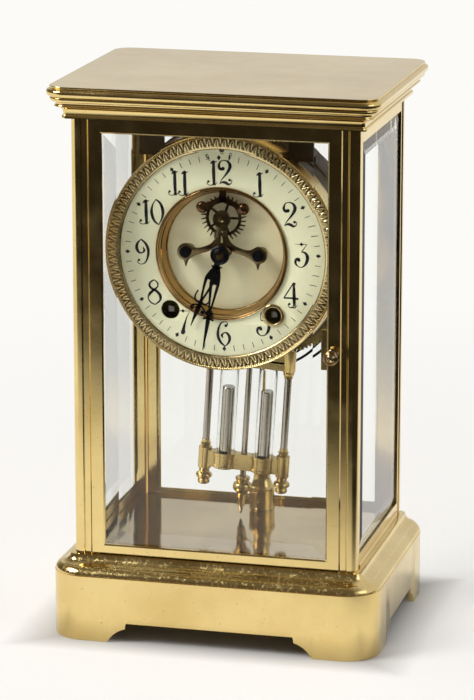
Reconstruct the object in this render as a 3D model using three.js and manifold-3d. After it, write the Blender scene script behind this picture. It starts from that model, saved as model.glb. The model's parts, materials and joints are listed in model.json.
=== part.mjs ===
// A crystal regulator clock: a brass case glazed on four sides, with a ring dial, a visible
// escapement and a pendulum of two vials, all in millimetres.
// X runs to the right of the dial, Y to the back and Z up. The origin is under the middle of the base.

import * as THREE from 'three';
import { mergeVertices } from 'three/addons/utils/BufferGeometryUtils.js';
import Module from 'manifold-3d';

const wasm = await Module();
wasm.setup();

const quarterTurn = Math.PI / 2;
const weldDistance = 1e-4;

// Driving dimensions of the case; its width and depth follow from what it holds
const baseHeight = 40.5;
const postHeight = 210.9;
const corniceHeight = 15.6;
const baseReach = 10.9; // how far the base stands out past the posts
const corniceReach = 10.6; // how far the cornice stands out past the posts
const runningGap = 0.3; // between pieces that move past each other or drop into a seat

// Base
const baseWall = 3;
const baseCornerRadius = 16.5;
const baseTopCornerRadius = 3;
const baseShoulderHeight = 8.5; // height of the moulded shoulder above the straight wall
const baseCeilingThickness = 4.5;
const baseCeilingHeight = baseHeight - baseCeilingThickness;
const baseCeilingDrop = 7; // from the ceiling down to the top of the inner wall
const baseInnerWallHeight = baseCeilingHeight - baseCeilingDrop;
const baseCeilingInset = 0.5;
// The shoulder from its ledge down to the wall: share of the reach, share of the shoulder height
const shoulderShares = [
  [0.18, 1], [0.22, 0.976], [0.3, 0.753], [0.422, 0.612], [0.624, 0.482], [0.817, 0.353],
  [0.945, 0.188], [1, 0],
];
const archHeight = 9.8;
const archRiser = 2.8; // upright step at the top of each foot
const archCurveRun = 8.9; // how far the curve under each foot runs in
const footWidthFront = 29.7; // from the base's outer face to the arch
const footWidthSide = 28.9;
const archStepRun = 0.5;

// Cornice, from its lower rim to its flat top
const corniceShares = [
  [0.32, 0], [0.32, 0.083], [0.245, 0.096], [0.26, 0.205], [0.34, 0.295], [0.547, 0.359],
  [0.65, 0.372], [0.65, 0.41], [0.585, 0.423], [0.585, 0.5], [0.717, 0.513], [0.849, 0.59],
  [0.811, 0.667], [0.868, 0.679], [0.962, 0.731], [1, 0.801], [0.962, 0.872], [0.84, 0.923],
  [0.821, 0.932], [0.854, 0.949], [0.854, 1],
];
const corniceCornerLoss = 1; // the corner radius is the stand-out less this
const corniceRecessHeight = 12.1;
const corniceRecessMargin = 5; // inside the outer faces of the door frames

// Corner posts
const postSize = 8.2;
const postCornerRadius = 2.7;
const postBandWidth = 4.9;
const postGrooveWidth = 0.5;
const postGrooveDepth = 0.9;
const postStripDrop = 0.4; // the flat strip lies this far behind the band

// Side glass and its rails
const glassThickness = 3;
const glassEdgeThickness = 1.9;
const glassBevel = 8;
const glassBite = 1.2; // how far the glass enters its slots
const glassOuterInset = 0.7; // outer glass face behind the outer post face
const railTopHeight = 7.3;
const railBottomHeight = 6.8;
const railThickness = 4.4;
const railBeadHeight = 1.5;

// Doors
const doorSideGap = 0.5;
const doorTopGap = 0.4;
const doorThickness = 4.2;
const doorFrontInset = 0.2;
const doorStileWidth = 6.4;
const doorTopRailHeight = 6.6;
const doorBottomRailHeight = 4.5;
const doorLip = 1.6; // brass in front of the glass
const doorRabbet = 1.5;
const doorGlassThickness = 2;
const doorGlassCrown = 1; // the middle of the bevelled pane stands this much proud of its edge
const doorInnerChamfer = 0.6;
const pivotInset = 2.7; // pivot pin from the door's hinge edge
const pivotDepth = 1.6; // pivot pin behind the post's outer face
const pivotRadius = 1.2;
const pivotLength = 2;
const latchHeight = 145; // knob above the floor
const knobInset = 3.3; // knob from the door's free edge
const knobRadius = 3.2;
const knobStemRadius = 1;
const knobReach = 7.2; // knob face in front of the door
const latchPlateHeight = 19.2;
const latchPlateWidth = 9.6;
const latchPlateThickness = 0.8;
const latchPlateRise = 1.6; // middle of the plate above the knob
const latchFingerLength = 7;
const latchFingerWidth = 2.4;
const latchFingerThickness = 1;
const latchFingerGap = 3.4; // finger behind the latch plate

// Floor plate
const floorThickness = 2;
const floorSideMargin = 0.3;
const floorDoorMargin = 0.3;

// Dial, seen from the front: sizes from the dial centre, depths forward of the enamel's face
const dialTopRoom = 8.2; // from the bezel up to the posts' top
const dialFrontRoom = 11.2; // from the enamel's face to the front door
const greatRadius = 23.3; // the two great wheels lie side by side and set the winding holes
const greatGap = 3.4; // between the great wheels
const windingSpacing = 2 * greatRadius + greatGap;
const windingDrop = 28.2;
const stopworkRadius = 4.5; // winding holes in the enamel
const windingReach = Math.hypot(windingSpacing / 2, windingDrop);
const enamelRim = 8.114; // from a winding hole to the enamel's edge
const enamelRadius = windingReach + stopworkRadius + enamelRim;
const recessRim = 1.686; // from a winding hole to the recess
const enamelInnerRadius = windingReach - stopworkRadius - recessRim;
const enamelThickness = 1.2;
const bezelLap = 1.3; // over the enamel's edge
const bezelInnerRadius = enamelRadius - bezelLap;
const bezelBandWidth = 7;
const bezelRadius = bezelInnerRadius + bezelBandWidth;
const bezelCrown = 1.9;
const bezelWall = 1.2;
const recessDepth = 7.1; // the centre lies this far behind the enamel
const recessFlare = 3.5; // how much wider the recess is at the enamel
const recessRadius = enamelInnerRadius - recessFlare;
const giltWall = 0.8;
const giltFlange = 0.6;
const discThickness = 1;
const discLap = 1.5; // behind the gilt ring
const discRadius = recessRadius + discLap;
const ringOverhang = 6.3; // past the bezel
const ringRadius = bezelRadius + ringOverhang;
const ringSideRoom = 3; // from the mounting ring to the side glass
const ringThickness = 1.2;
const ringRimInset = 3.3; // inside the enamel's edge
const ringRimRadius = enamelRadius - ringRimInset;
const ringFlangeLap = 2; // the flange reaches inside its rim
const ringInnerRadius = ringRimRadius - ringFlangeLap;
const hangerInner = 30;
const hangerWidth = 12;
const hangerFoot = 8.4;
const grommetRadius = 5.5;
const grommetWall = 0.35;

// Movement plates, pillars and arbors
const plateThickness = 1.6;
const plateGap = 26.4; // between the two plates
const motionSpace = 2.8; // between the mounting ring and the front plate
const pillarRadius = 2.2;
const pillarSpread = 31; // of the upper pillars, across and up
const plateEdge = 0.96; // plate left outside the pillars
const plateRadius = Math.hypot(pillarSpread, pillarSpread) + pillarRadius + plateEdge;
const pillarDrop = plateRadius - pillarRadius - plateEdge; // of the lower pillar
const dialPostRadius = 1.6;
const dialPostSeat = 1.1; // from the ring's inner edge to the post's middle
const dialPostSpread = (ringInnerRadius + dialPostSeat) * Math.SQRT1_2;
const arborRadius = 0.8;
const windingRadius = 1.85;
const windingSquareLength = 9;

// Wheels: teeth and tip radii
const greatTeeth = 73;
const barrelInset = 4.3; // drum inside the great wheel's tips
const barrelRadius = greatRadius - barrelInset;
const barrelHeight = 10.8;
const wheelThickness = 1;
const pinionRadius = 3;
const pinionLeaves = 10;
const secondTeeth = 40;
const secondArborX = 12;
const secondArborY = -5;
const centreTeeth = 72;
const thirdTeeth = 78;
const thirdArborX = -11;
const thirdArborY = 9;
const smallPinionRadius = 2.1;
const smallPinionLeaves = 6;
const toothHeight = 1.3;
const motionArborX = -9.4;
const motionArborY = -5.7;
const cannonTeeth = 12;
const cannonRadius = 2.6;
const minuteWheelTeeth = 36;
const minutePinionTeeth = 10;
const minutePinionRadius = 2.05;
const hourWheelTeeth = 40;
const hourPipeRadius = 2.6;
const hourPipeBore = 1.5;
const centreArborRadius = 1.05;

// Escapement
const escapeHeight = 16.4; // escape arbor above the dial centre
const recessClearance = 0.7; // from the wheel's teeth to the recess's wall
const escapeRadius = recessRadius - recessClearance - escapeHeight;
const escapeTeeth = 30;
const escapeToothLength = 2.3;
const escapeRimWidth = 1.5;
const escapeHubRadius = 2.6;
const escapePlane = 4.6; // back of the wheel behind the enamel face
const palletBehind = 8.9; // pallet arbor above the recess's edge, behind the enamel
const palletHeight = enamelInnerRadius + palletBehind;
const palletPinAngle = 0.4636; // radians, of each pin above the wheel's middle
const palletPinClearance = 0.28; // from the teeth's circle to the pin's middle
const palletPinReach = escapeRadius + palletPinClearance;
const palletSpread = palletPinReach * Math.cos(palletPinAngle);
const palletDrop = palletHeight - escapeHeight - palletPinReach * Math.sin(palletPinAngle);
const palletHeadRadius = 2.4;
const palletPinRadius = 1.1;
const anchorThickness = 1;
const anchorFront = 1.8; // front of the anchor behind the enamel face
const anchorStemWidth = 3;
const anchorArmWidth = 2.2;
const anchorKneeRise = 4; // where the arms leave the stem, above the pins
const bridgeReach = 17.6;
const bridgeThickness = 1.2;
const bridgeEndRadius = 4.1;
const bridgeBossRadius = 3.5;
const bridgeBossRise = 0.9;
const bridgeNeckSink = 1.97; // top of the neck below the boss's middle
const bridgeSlotWidth = 1.2;
const bridgeScrewRadius = 2.8;
const bridgeScrewRise = 0.9;
// Right half of the bridge between its boss and its end, as shares of the reach, top edge then lower
const bridgeUpperShares = [
  [0.156, 0.767], [0.165, 0.54], [0.216, 0.364], [0.341, 0.239], [0.511, 0.165], [0.682, 0.125],
  [0.807, 0.131], [1, 0.14],
];
const bridgeLowerShares = [
  [1.1, -0.18], [0.989, -0.403], [0.915, -0.216], [0.767, -0.108], [0.597, -0.034], [0.398, 0.03],
  [0.25, 0.108], [0.136, 0.19], [0, 0.215],
];
const bridgeSlotShares = [0.29, 0.61]; // lower and upper end of the slot in the neck

// Hands
const minuteHandLength = 46.8;
const minuteHandHalfWidth = 2.6;
const minuteHandAngle = 190.2; // degrees clockwise from twelve
const minuteHandPlane = 3.3; // back of the hand in front of the enamel
const hourHandLength = 37.9;
const hourHandHalfWidth = 2.9;
const hourHandAngle = 202.6;
const hourHandPlane = 1.6;
const handThickness = 0.6;
const handHubRadius = 4.6;
const handHubHeight = 1.4;
const handHubBack = 0.3;
const hourHubRadius = 4.2;
const arborNose = 5.2; // front end of the centre arbor in front of the enamel
// Half outlines of the hands: share of the length, share of the half width
const minuteHandShares = [
  [0.07, 0.4], [0.12, 0.46], [0.128, 0.9], [0.145, 0.9], [0.152, 0.46], [0.21, 0.96], [0.29, 1],
  [0.5, 0.74], [0.585, 0.36], [0.6, 0.7], [0.62, 0.7], [0.64, 0.32], [1, 0.08],
];
const minuteSlotShares = [[0.3, 0.06], [0.46, 0.34], [0.55, 0.06]];
const hourHandShares = [
  [0.09, 0.5], [0.15, 0.5], [0.165, 0.8], [0.185, 0.8], [0.2, 0.5], [0.3, 0.9], [0.45, 0.95],
  [0.62, 0.6], [0.66, 0.45], [0.69, 0.5], [0.7, 1], [0.735, 1.15], [0.77, 1], [0.78, 0.45],
  [0.84, 0.35], [1, 0.08],
];
const hourSlotShares = [[0.3, 0.06], [0.48, 0.42], [0.6, 0.06]];

// Regulator arbor, cock and suspension
const regulatorRadius = 1;
const regulatorInset = 1.7; // inside the enamel's edge
const regulatorHeight = enamelRadius - regulatorInset;
const cockOverhang = 3.6; // past the pendulum's plane
const cockHalfWidth = 6;
const cockRise = 1.6; // underside above the pallet arbor
const cockRoom = 0.7; // from the cock's top to the regulator arbor
const cockBottom = palletHeight + cockRise;
const cockHeight = regulatorHeight - regulatorRadius - cockRoom - cockBottom;
const cockSlot = 0.8;
const cockSlotHeight = 3.5;
const pendulumStandoff = 14.4; // pendulum's plane behind the back plate
const cockReach = pendulumStandoff + cockOverhang;
const springWidth = 5;
const springThickness = 0.4;
const springLength = 9;
const springAbovePivot = 3;
const leaderRadius = 0.7;
const hookEyeRadius = 1.8;
const hookEyeThickness = 1.4;
const hookPinRadius = 0.6;
const crutchStandoff = 4.9; // crutch arm in front of the pendulum's plane
const crutchDrop = 26;
const crutchWidth = 2;
const forkWall = 0.9;

// Bob, in its own tilted frame below the hook
const bobTilt = 3.5; // degrees, the bob hangs with its foot to the left
const bobRodSpread = 19.7;
const outerRodRadius = 1.55;
const centreRodRadius = 1.4;
const vialSpread = 9.7;
const vialRadius = 4.5;
const vialWall = 0.8;
const weightRadius = 3.2;
const weightLength = 31.5;
const upperBracketDrop = 6.8; // underside below the hook
const upperBracketHeight = 4.4;
const upperBossRadius = 4.3;
const bracketThickness = 5;
const cheekThickness = 0.8;
const lowerBracketDrop = 51.5; // top of the lower bracket below the hook
const lowerBracketHeight = 8;
const lowerBossRadius = 3;
const cupRadius = 6;
const cupFloor = 1.6;
const finialLength = 15;
const finialRadius = 3.8;
// Finial below its boss: share of the radius, share of the length
const finialShares = [
  [0.45, 0], [0.45, 0.1], [0.8, 0.14], [0.8, 0.2], [0.45, 0.25], [0.87, 0.33], [1, 0.43],
  [0.87, 0.53], [0.42, 0.6], [0.42, 0.66], [0.66, 0.74], [0.72, 0.82], [0.6, 0.91], [0, 1],
];
const nutSpace = 3.5; // from the lower bracket down to the rating nut
const nutDrop = lowerBracketDrop + lowerBracketHeight + nutSpace;
const nutLength = 15;
const nutRadius = 4.8;
const nutShares = [
  [0.55, 0], [0.75, 0.02], [0.75, 0.12], [0.55, 0.16], [0.9, 0.24], [1, 0.34], [0.92, 0.46],
  [0.6, 0.54], [0.52, 0.62], [0.4, 1],
];
const rodPointReach = 4.5; // past the rating nut
const rodTaper = 5.6; // length of the rod's point
const rodPointDrop = nutDrop + nutLength + rodPointReach;
const bobFloorRoom = 1; // rod's point above the floor plate

// Gong and its column
const gongRadius = 40;
const gongPitch = 3.8;
const gongWire = 1.3;
const gongTurns = 5;
const gongCurl = 0.75; // turns of the last curl into the block
const gongCentreX = 1.6;
const gongCentreHeight = 154;
const gongStandoff = 14.6; // gong's plane behind the pendulum's
const columnOffset = 2.8; // column's axis behind the gong's plane
const columnBackRoom = 3.6; // from the drum to the back door
const columnDrumRadius = 6.6;
const columnHeight = 24;
const columnRodRadius = 1.2;
const gongBlock = 6;
// Column foot: share of the drum radius, share of the height
const columnShares = [
  [0.95, 0], [0.95, 0.36], [1, 0.37], [1, 0.46], [0.85, 0.48], [0.83, 0.5], [0.66, 0.62],
  [0.6, 0.82], [0.4, 0.9],
];
const hammerArborX = -40;
const hammerArborY = 5;
const hammerHeadRadius = 3;
const hammerHeadLength = 5;
const hammerGap = 0.6; // hammer face off the gong wire at rest

// The case round its contents: across, the mounting ring and a glass on each side
const halfWidth = ringRadius + ringSideRoom + glassThickness + glassOuterInset;
const bodyWidth = 2 * halfWidth;
// Front to back, a door at each end, the dial, the movement, the pendulum, the gong and its column
const plateStack = 2 * plateThickness + plateGap;
const movementDepth = recessDepth + runningGap + discThickness + ringThickness + motionSpace + plateStack;
const doorDepth = doorFrontInset + doorThickness;
const frontHalf = doorDepth + dialFrontRoom + movementDepth;
const columnRoom = columnOffset + columnDrumRadius + columnBackRoom;
const backHalf = pendulumStandoff + gongStandoff + columnRoom + doorDepth;
const bodyDepth = frontHalf + backHalf;
const halfDepth = bodyDepth / 2;
const dialFaceDepth = halfDepth - doorDepth - dialFrontRoom; // enamel's face in front of the middle
const pendulumPlane = movementDepth + pendulumStandoff - dialFaceDepth; // behind the middle
const gongPlane = pendulumPlane + gongStandoff;
const columnPlane = gongPlane + columnOffset;
const crutchPlane = dialFaceDepth + pendulumPlane - crutchStandoff; // behind the enamel's face
// Up, the dial hangs from the top and the bob stands clear of the floor plate
const postTop = baseHeight + postHeight;
const dialHeight = postTop - dialTopRoom - bezelRadius;
const floorTop = baseHeight + floorThickness;
const hookHeight = floorTop + bobFloorRoom + rodPointDrop; // where the bob hangs on the leader
const archHalfWidthFront = halfWidth + baseReach - footWidthFront;
const archHalfWidthSide = halfDepth + baseReach - footWidthSide;

// Facets
const roundSegments = 36;
const mediumSegments = 16;
const smallSegments = 8;
const cornerSegments = 4;
const gongSteps = 24;
const gongSides = 6;

// Materials
const brass = new THREE.MeshStandardMaterial({ color: 0xc9a860, roughness: 0.25, metalness: 1 });
const movementBrass = new THREE.MeshStandardMaterial({ color: 0xb8934a, roughness: 0.35, metalness: 1 });
const steel = new THREE.MeshStandardMaterial({ color: 0xb4b4b0, roughness: 0.25, metalness: 1 });
const blackSteel = new THREE.MeshStandardMaterial({ color: 0x16161a, roughness: 0.4, metalness: 0.6 });
const enamel = new THREE.MeshStandardMaterial({ color: 0xefead6, roughness: 0.15, metalness: 0 });
const glass = new THREE.MeshStandardMaterial({
  color: 0xdfeee8, roughness: 0.02, metalness: 0, transparent: true, opacity: 0.3,
});

const flat = (x, y) => new THREE.Vector2(x, y);
const spot = (x, y, z) => new THREE.Vector3(x, y, z);

// Six times the volume that the faces enclose, below zero where they point in
function sixVolumes(geometry) {
  const at = geometry.getAttribute('position');
  const index = geometry.index.array;
  const [a, b, c] = [spot(), spot(), spot()];
  let sum = 0;
  for (let i = 0; i < index.length; i += 3) {
    a.fromBufferAttribute(at, index[i]);
    b.fromBufferAttribute(at, index[i + 1]);
    c.fromBufferAttribute(at, index[i + 2]);
    sum += a.dot(b.cross(c));
  }
  return sum;
}

// Merges shared corners, drops faces without area and turns the faces outward
function tidy(source) {
  const bare = new THREE.BufferGeometry();
  bare.setAttribute('position', source.getAttribute('position').clone());
  if (source.index) bare.setIndex(source.index.clone());
  const merged = mergeVertices(bare, weldDistance);
  const index = merged.index.array;
  const kept = [];
  for (let i = 0; i < index.length; i += 3) {
    const [a, b, c] = [index[i], index[i + 1], index[i + 2]];
    if (a !== b && b !== c && c !== a) kept.push(a, b, c);
  }
  merged.setIndex(kept);
  if (sixVolumes(merged) < 0) {
    for (let i = 0; i < kept.length; i += 3) [kept[i], kept[i + 1]] = [kept[i + 1], kept[i]];
    merged.setIndex(kept);
  }
  return merged;
}

function toSolid(geometry) {
  const closed = tidy(geometry);
  return new wasm.Manifold(new wasm.Mesh({
    numProp: 3,
    vertProperties: new Float32Array(closed.getAttribute('position').array),
    triVerts: new Uint32Array(closed.index.array),
  }));
}

function fromSolid(solid) {
  const mesh = solid.getMesh();
  const geometry = new THREE.BufferGeometry();
  geometry.setAttribute('position', new THREE.BufferAttribute(mesh.vertProperties.slice(), 3));
  geometry.setIndex(Array.from(mesh.triVerts));
  return geometry;
}

function join(first, ...others) {
  return fromSolid(others.reduce((whole, piece) => whole.add(toSolid(piece)), toSolid(first)));
}

function cut(body, ...tools) {
  return fromSolid(tools.reduce((whole, tool) => whole.subtract(toSolid(tool)), toSolid(body)));
}

// A box from its lowest to its highest corner
function box(low, high) {
  const size = spot().subVectors(high, low);
  const geometry = new THREE.BoxGeometry(size.x, size.y, size.z);
  const middle = spot().addVectors(low, high).multiplyScalar(0.5);
  return geometry.translate(middle.x, middle.y, middle.z);
}

// A flat outline carried up Z from low to high, with holes
function prism(outline, low, high, holes = []) {
  const shape = new THREE.Shape(outline);
  holes.forEach((hole) => shape.holes.push(new THREE.Path(hole)));
  const geometry = new THREE.ExtrudeGeometry(shape, { depth: high - low, bevelEnabled: false });
  return geometry.translate(0, 0, low);
}

function circle(radius, x = 0, y = 0, segments = smallSegments) {
  const points = [];
  for (let i = 0; i < segments; i += 1) {
    const angle = (i / segments) * 2 * Math.PI;
    points.push(flat(x + radius * Math.cos(angle), y + radius * Math.sin(angle)));
  }
  return points;
}

// A profile of [radius, height] turned about Z
function turned(profile, segments) {
  const points = profile.map(([radius, height]) => flat(radius, height));
  return new THREE.LatheGeometry(points, segments).rotateX(quarterTurn);
}

function rod(radius, low, high, segments = smallSegments) {
  return turned([[0, low], [radius, low], [radius, high], [0, high]], segments);
}

// Closed loops of as many points each, joined in order and closed with a flat cap at both ends
function loft(loops) {
  const count = loops[0].length;
  const index = [];
  for (let k = 0; k + 1 < loops.length; k += 1) {
    for (let i = 0; i < count; i += 1) {
      const j = (i + 1) % count;
      const [a, b] = [k * count + i, k * count + j];
      index.push(a, b, b + count, a, b + count, a + count);
    }
  }
  const last = (loops.length - 1) * count;
  for (let i = 1; i + 1 < count; i += 1) {
    index.push(0, i + 1, i, last, last + i, last + i + 1);
  }
  const geometry = new THREE.BufferGeometry();
  const flatList = loops.flat().flatMap((p) => [p.x, p.y, p.z]);
  geometry.setAttribute('position', new THREE.Float32BufferAttribute(flatList, 3));
  geometry.setIndex(index);
  return geometry;
}

// A rectangle with round corners, standing out past the posts by reach
function caseLoop(reach, radius, z) {
  const points = [];
  const centreX = halfWidth + reach - radius;
  const centreY = halfDepth + reach - radius;
  const signs = [[1, 1], [-1, 1], [-1, -1], [1, -1]];
  signs.forEach(([sx, sy], corner) => {
    for (let s = 0; s <= cornerSegments; s += 1) {
      const angle = (corner + s / cornerSegments) * quarterTurn;
      points.push(spot(sx * centreX + radius * Math.cos(angle), sy * centreY + radius * Math.sin(angle), z));
    }
  });
  return points;
}

// A wheel outline: each tooth is a list of [share of the pitch, share of the tooth height]
const gearToothShares = [[0, 0], [0.36, 1], [0.64, 1]];
const hiddenToothShares = [[0, 0], [0.5, 1]];
const rakedToothShares = [[0, 0], [0.46, 1], [0.54, 1], [0.34, 0]];

function toothed(teeth, tip, height, shares) {
  const points = [];
  for (let i = 0; i < teeth; i += 1) {
    shares.forEach(([along, up]) => {
      const angle = ((i + along) / teeth) * 2 * Math.PI;
      const radius = tip - height * (1 - up);
      points.push(flat(radius * Math.cos(angle), radius * Math.sin(angle)));
    });
  }
  return points;
}

// Openings between the arms of a wheel
function crossings(arms, inner, outer, armWidth, steps) {
  const holes = [];
  for (let k = 0; k < arms; k += 1) {
    const hole = [];
    const from = (k / arms) * 2 * Math.PI;
    const span = (2 * Math.PI) / arms;
    [[outer, 0, 1], [inner, 1, 0]].forEach(([radius, start, end]) => {
      const margin = armWidth / 2 / radius;
      for (let s = 0; s <= steps; s += 1) {
        const share = start + (end - start) * (s / steps);
        const angle = from + margin + share * (span - 2 * margin);
        hole.push(flat(radius * Math.cos(angle), radius * Math.sin(angle)));
      }
    });
    holes.push(hole);
  }
  return holes;
}

// A symmetric outline from half-width shares along a length, pointing up Y
function bladeOutline(shares, length, halfBreadth) {
  const right = shares.map(([along, wide]) => flat(wide * halfBreadth, along * length));
  const left = shares.map(([along, wide]) => flat(-wide * halfBreadth, along * length)).reverse();
  return right.concat(left);
}

const clock = new THREE.Group();

function place(group, name, geometry, material) {
  const finished = tidy(geometry);
  finished.computeVertexNormals();
  const mesh = new THREE.Mesh(finished, material);
  mesh.name = name;
  group.add(mesh);
  return mesh;
}

// Base
const baseShoulderFoot = baseHeight - baseShoulderHeight;
const cornerGrowth = (baseCornerRadius - baseTopCornerRadius) / (1 - shoulderShares[0][0]);
const cornerAt = (share) => baseTopCornerRadius + (share - shoulderShares[0][0]) * cornerGrowth;
const shoulderLoops = shoulderShares.map(([out, up]) => (
  caseLoop(out * baseReach, cornerAt(out), baseShoulderFoot + up * baseShoulderHeight)
));
const baseInnerReach = baseReach - baseWall;
const baseShell = loft([
  caseLoop(-baseCeilingInset, baseTopCornerRadius, baseCeilingHeight),
  caseLoop(baseInnerReach, baseCornerRadius - baseWall, baseInnerWallHeight),
  caseLoop(baseInnerReach, baseCornerRadius - baseWall, 0),
  caseLoop(baseReach, baseCornerRadius, 0),
  ...shoulderLoops.reverse(),
]);

// The opening between two feet, as an outline in its own plane
function archOutline(halfGap) {
  const curveTop = archHeight - archRiser;
  const path = new THREE.Shape();
  const steepShare = 0.38;
  const riseShare = 0.8;
  path.moveTo(halfGap, -archHeight);
  path.lineTo(halfGap, 0);
  path.quadraticCurveTo(
    halfGap - archCurveRun * steepShare, curveTop * riseShare, halfGap - archCurveRun, curveTop,
  );
  path.lineTo(halfGap - archCurveRun - archStepRun, archHeight);
  const right = path.getPoints(cornerSegments);
  const left = right.map((p) => flat(-p.x, p.y)).reverse();
  return right.concat(left);
}
const archFront = prism(archOutline(archHalfWidthFront), -bodyDepth, bodyDepth).rotateX(quarterTurn);
const archSide = prism(archOutline(archHalfWidthSide), -bodyWidth, bodyWidth)
  .rotateX(quarterTurn).rotateZ(quarterTurn);

const doorEdge = halfWidth - postSize - doorSideGap; // half the door's width
const pivotX = doorEdge - pivotInset;
const pivotY = halfDepth - pivotDepth;
function pivotHoles(low, high) {
  return [1, -1].map((side) => {
    const hole = rod(pivotRadius + runningGap, low, high);
    return hole.translate(side * pivotX, side * pivotY, 0);
  });
}
const pivotHoleDepth = pivotLength + runningGap;
place(clock, 'base', cut(
  baseShell, archFront, archSide, ...pivotHoles(baseHeight - pivotHoleDepth, baseHeight + pivotHoleDepth),
), brass);

// Floor plate, notched round the posts and set back where the hinge edge of a door swings in
const floorHalfWidth = halfWidth - postStripDrop - railThickness - floorSideMargin;
const floorHalfDepth = halfDepth - doorFrontInset - doorThickness - floorDoorMargin;
const notchX = halfWidth - postSize - floorSideMargin;
const notchY = halfDepth - postSize - floorSideMargin;
const doorSweep = Math.hypot(pivotInset, doorDepth - pivotDepth) + runningGap;
const sweepX = pivotX - doorSweep;
const sweepY = pivotY - doorSweep;
const floorQuarter = [
  [floorHalfWidth, notchY], [notchX, notchY], [notchX, sweepY], [sweepX, sweepY], [sweepX, floorHalfDepth],
];
const floorOutline = [
  ...floorQuarter,
  ...floorQuarter.map(([x, y]) => [-x, y]).reverse(),
  ...floorQuarter.map(([x, y]) => [-x, -y]),
  ...floorQuarter.map(([x, y]) => [x, -y]).reverse(),
].map(([x, y]) => flat(x, y));
place(clock, 'floor_plate', prism(floorOutline, baseHeight, floorTop), brass);

// Posts: u runs in from the side face, v in from the front face
const slotOuter = glassOuterInset + glassThickness - glassEdgeThickness - runningGap;
const slotInner = glassOuterInset + glassThickness + runningGap;
const slotDepth = glassBite + runningGap;
function postOutline() {
  const grooveEnd = postBandWidth + postGrooveWidth;
  const points = [];
  for (let s = 0; s <= cornerSegments; s += 1) {
    const angle = Math.PI + (s / cornerSegments) * quarterTurn;
    points.push([
      postCornerRadius + postCornerRadius * Math.cos(angle),
      postCornerRadius + postCornerRadius * Math.sin(angle),
    ]);
  }
  points.push([postBandWidth, 0], [postBandWidth, postGrooveDepth], [grooveEnd, postGrooveDepth]);
  points.push([grooveEnd, postStripDrop], [postSize, postStripDrop], [postSize, postSize]);
  points.push([slotInner, postSize], [slotInner, postSize - slotDepth]);
  points.push([slotOuter, postSize - slotDepth], [slotOuter, postSize]);
  points.push([postStripDrop, postSize], [postStripDrop, grooveEnd], [postGrooveDepth, grooveEnd]);
  points.push([postGrooveDepth, postBandWidth], [0, postBandWidth]);
  return points;
}
[['left', -1], ['right', 1]].forEach(([side, sx]) => {
  [['front', -1], ['back', 1]].forEach(([end, sy]) => {
    const outline = postOutline().map(([u, v]) => flat(sx * (halfWidth - u), sy * (halfDepth - v)));
    place(clock, `post_${end}_${side}`, prism(outline, baseHeight, postTop), brass);
  });
});

// Side rails: u runs in from the post's outer face, w away from the rail's outer edge
function railOutline(height, bead) {
  const outer = postStripDrop;
  const inner = postStripDrop + railThickness;
  const points = [[outer, height], [slotOuter, height], [slotOuter, height - slotDepth]];
  points.push([slotInner, height - slotDepth], [slotInner, height], [inner, height]);
  points.push([inner, 0], [0, 0], [0, bead], [outer, bead + outer]);
  return points;
}
const railHalfLength = halfDepth - postSize;
[['left', -1], ['right', 1]].forEach(([side, sx]) => {
  const bottom = railOutline(railBottomHeight, railBeadHeight)
    .map(([u, w]) => flat(sx * (halfWidth - u), baseHeight + w));
  const top = railOutline(railTopHeight, railBeadHeight)
    .map(([u, w]) => flat(sx * (halfWidth - u), postTop - w));
  const along = (outline) => prism(outline, -railHalfLength, railHalfLength).rotateX(quarterTurn);
  place(clock, `side_rail_${side}_bottom`, along(bottom), brass);
  place(clock, `side_rail_${side}_top`, along(top), brass);
});

// A bevelled pane standing in the XZ plane, its crowned face towards -Y
function bevelledPane(halfX, low, high, crown, face, back) {
  const rect = (inset, y) => [
    spot(-halfX + inset, y, low + inset), spot(halfX - inset, y, low + inset),
    spot(halfX - inset, y, high - inset), spot(-halfX + inset, y, high - inset),
  ];
  return loft([rect(0, back), rect(0, face), rect(glassBevel, face - crown)]);
}
const sideGlassLow = baseHeight + railBottomHeight - glassBite;
const sideGlassHigh = postTop - railTopHeight + glassBite;
[['left', -1], ['right', 1]].forEach(([side, sx]) => {
  const crown = glassThickness - glassEdgeThickness;
  const face = -(halfWidth - glassOuterInset - crown);
  const pane = bevelledPane(
    railHalfLength + glassBite, sideGlassLow, sideGlassHigh, crown, face, face + glassEdgeThickness,
  );
  place(clock, `side_glass_${side}`, pane.rotateZ(sx * quarterTurn), glass);
});

// Cornice
const corniceLoops = corniceShares.map(([out, up]) => {
  const reach = out * corniceReach;
  return caseLoop(reach, reach - corniceCornerLoss, postTop + up * corniceHeight);
});
const recess = spot(doorEdge, halfDepth - corniceRecessMargin, 0);
const corniceRecess = box(
  spot(-recess.x, -recess.y, postTop - corniceRecessHeight),
  spot(recess.x, recess.y, postTop + corniceRecessHeight),
);
place(clock, 'cornice', cut(
  loft(corniceLoops), corniceRecess, ...pivotHoles(postTop - pivotHoleDepth, postTop + pivotHoleDepth),
), brass);

// Doors, each in a group of its own; the back one is the front one turned round
const doorFace = -(halfDepth - doorFrontInset);
const doorBack = doorFace + doorThickness;
const doorLow = baseHeight + doorTopGap;
const doorHigh = postTop - doorTopGap;
const openX = doorEdge - doorStileWidth;
const openLow = doorLow + doorBottomRailHeight;
const openHigh = doorHigh - doorTopRailHeight;
const knobX = doorEdge - knobInset;
const overrun = 1; // how far a cutting tool runs past the face that it cuts

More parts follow.
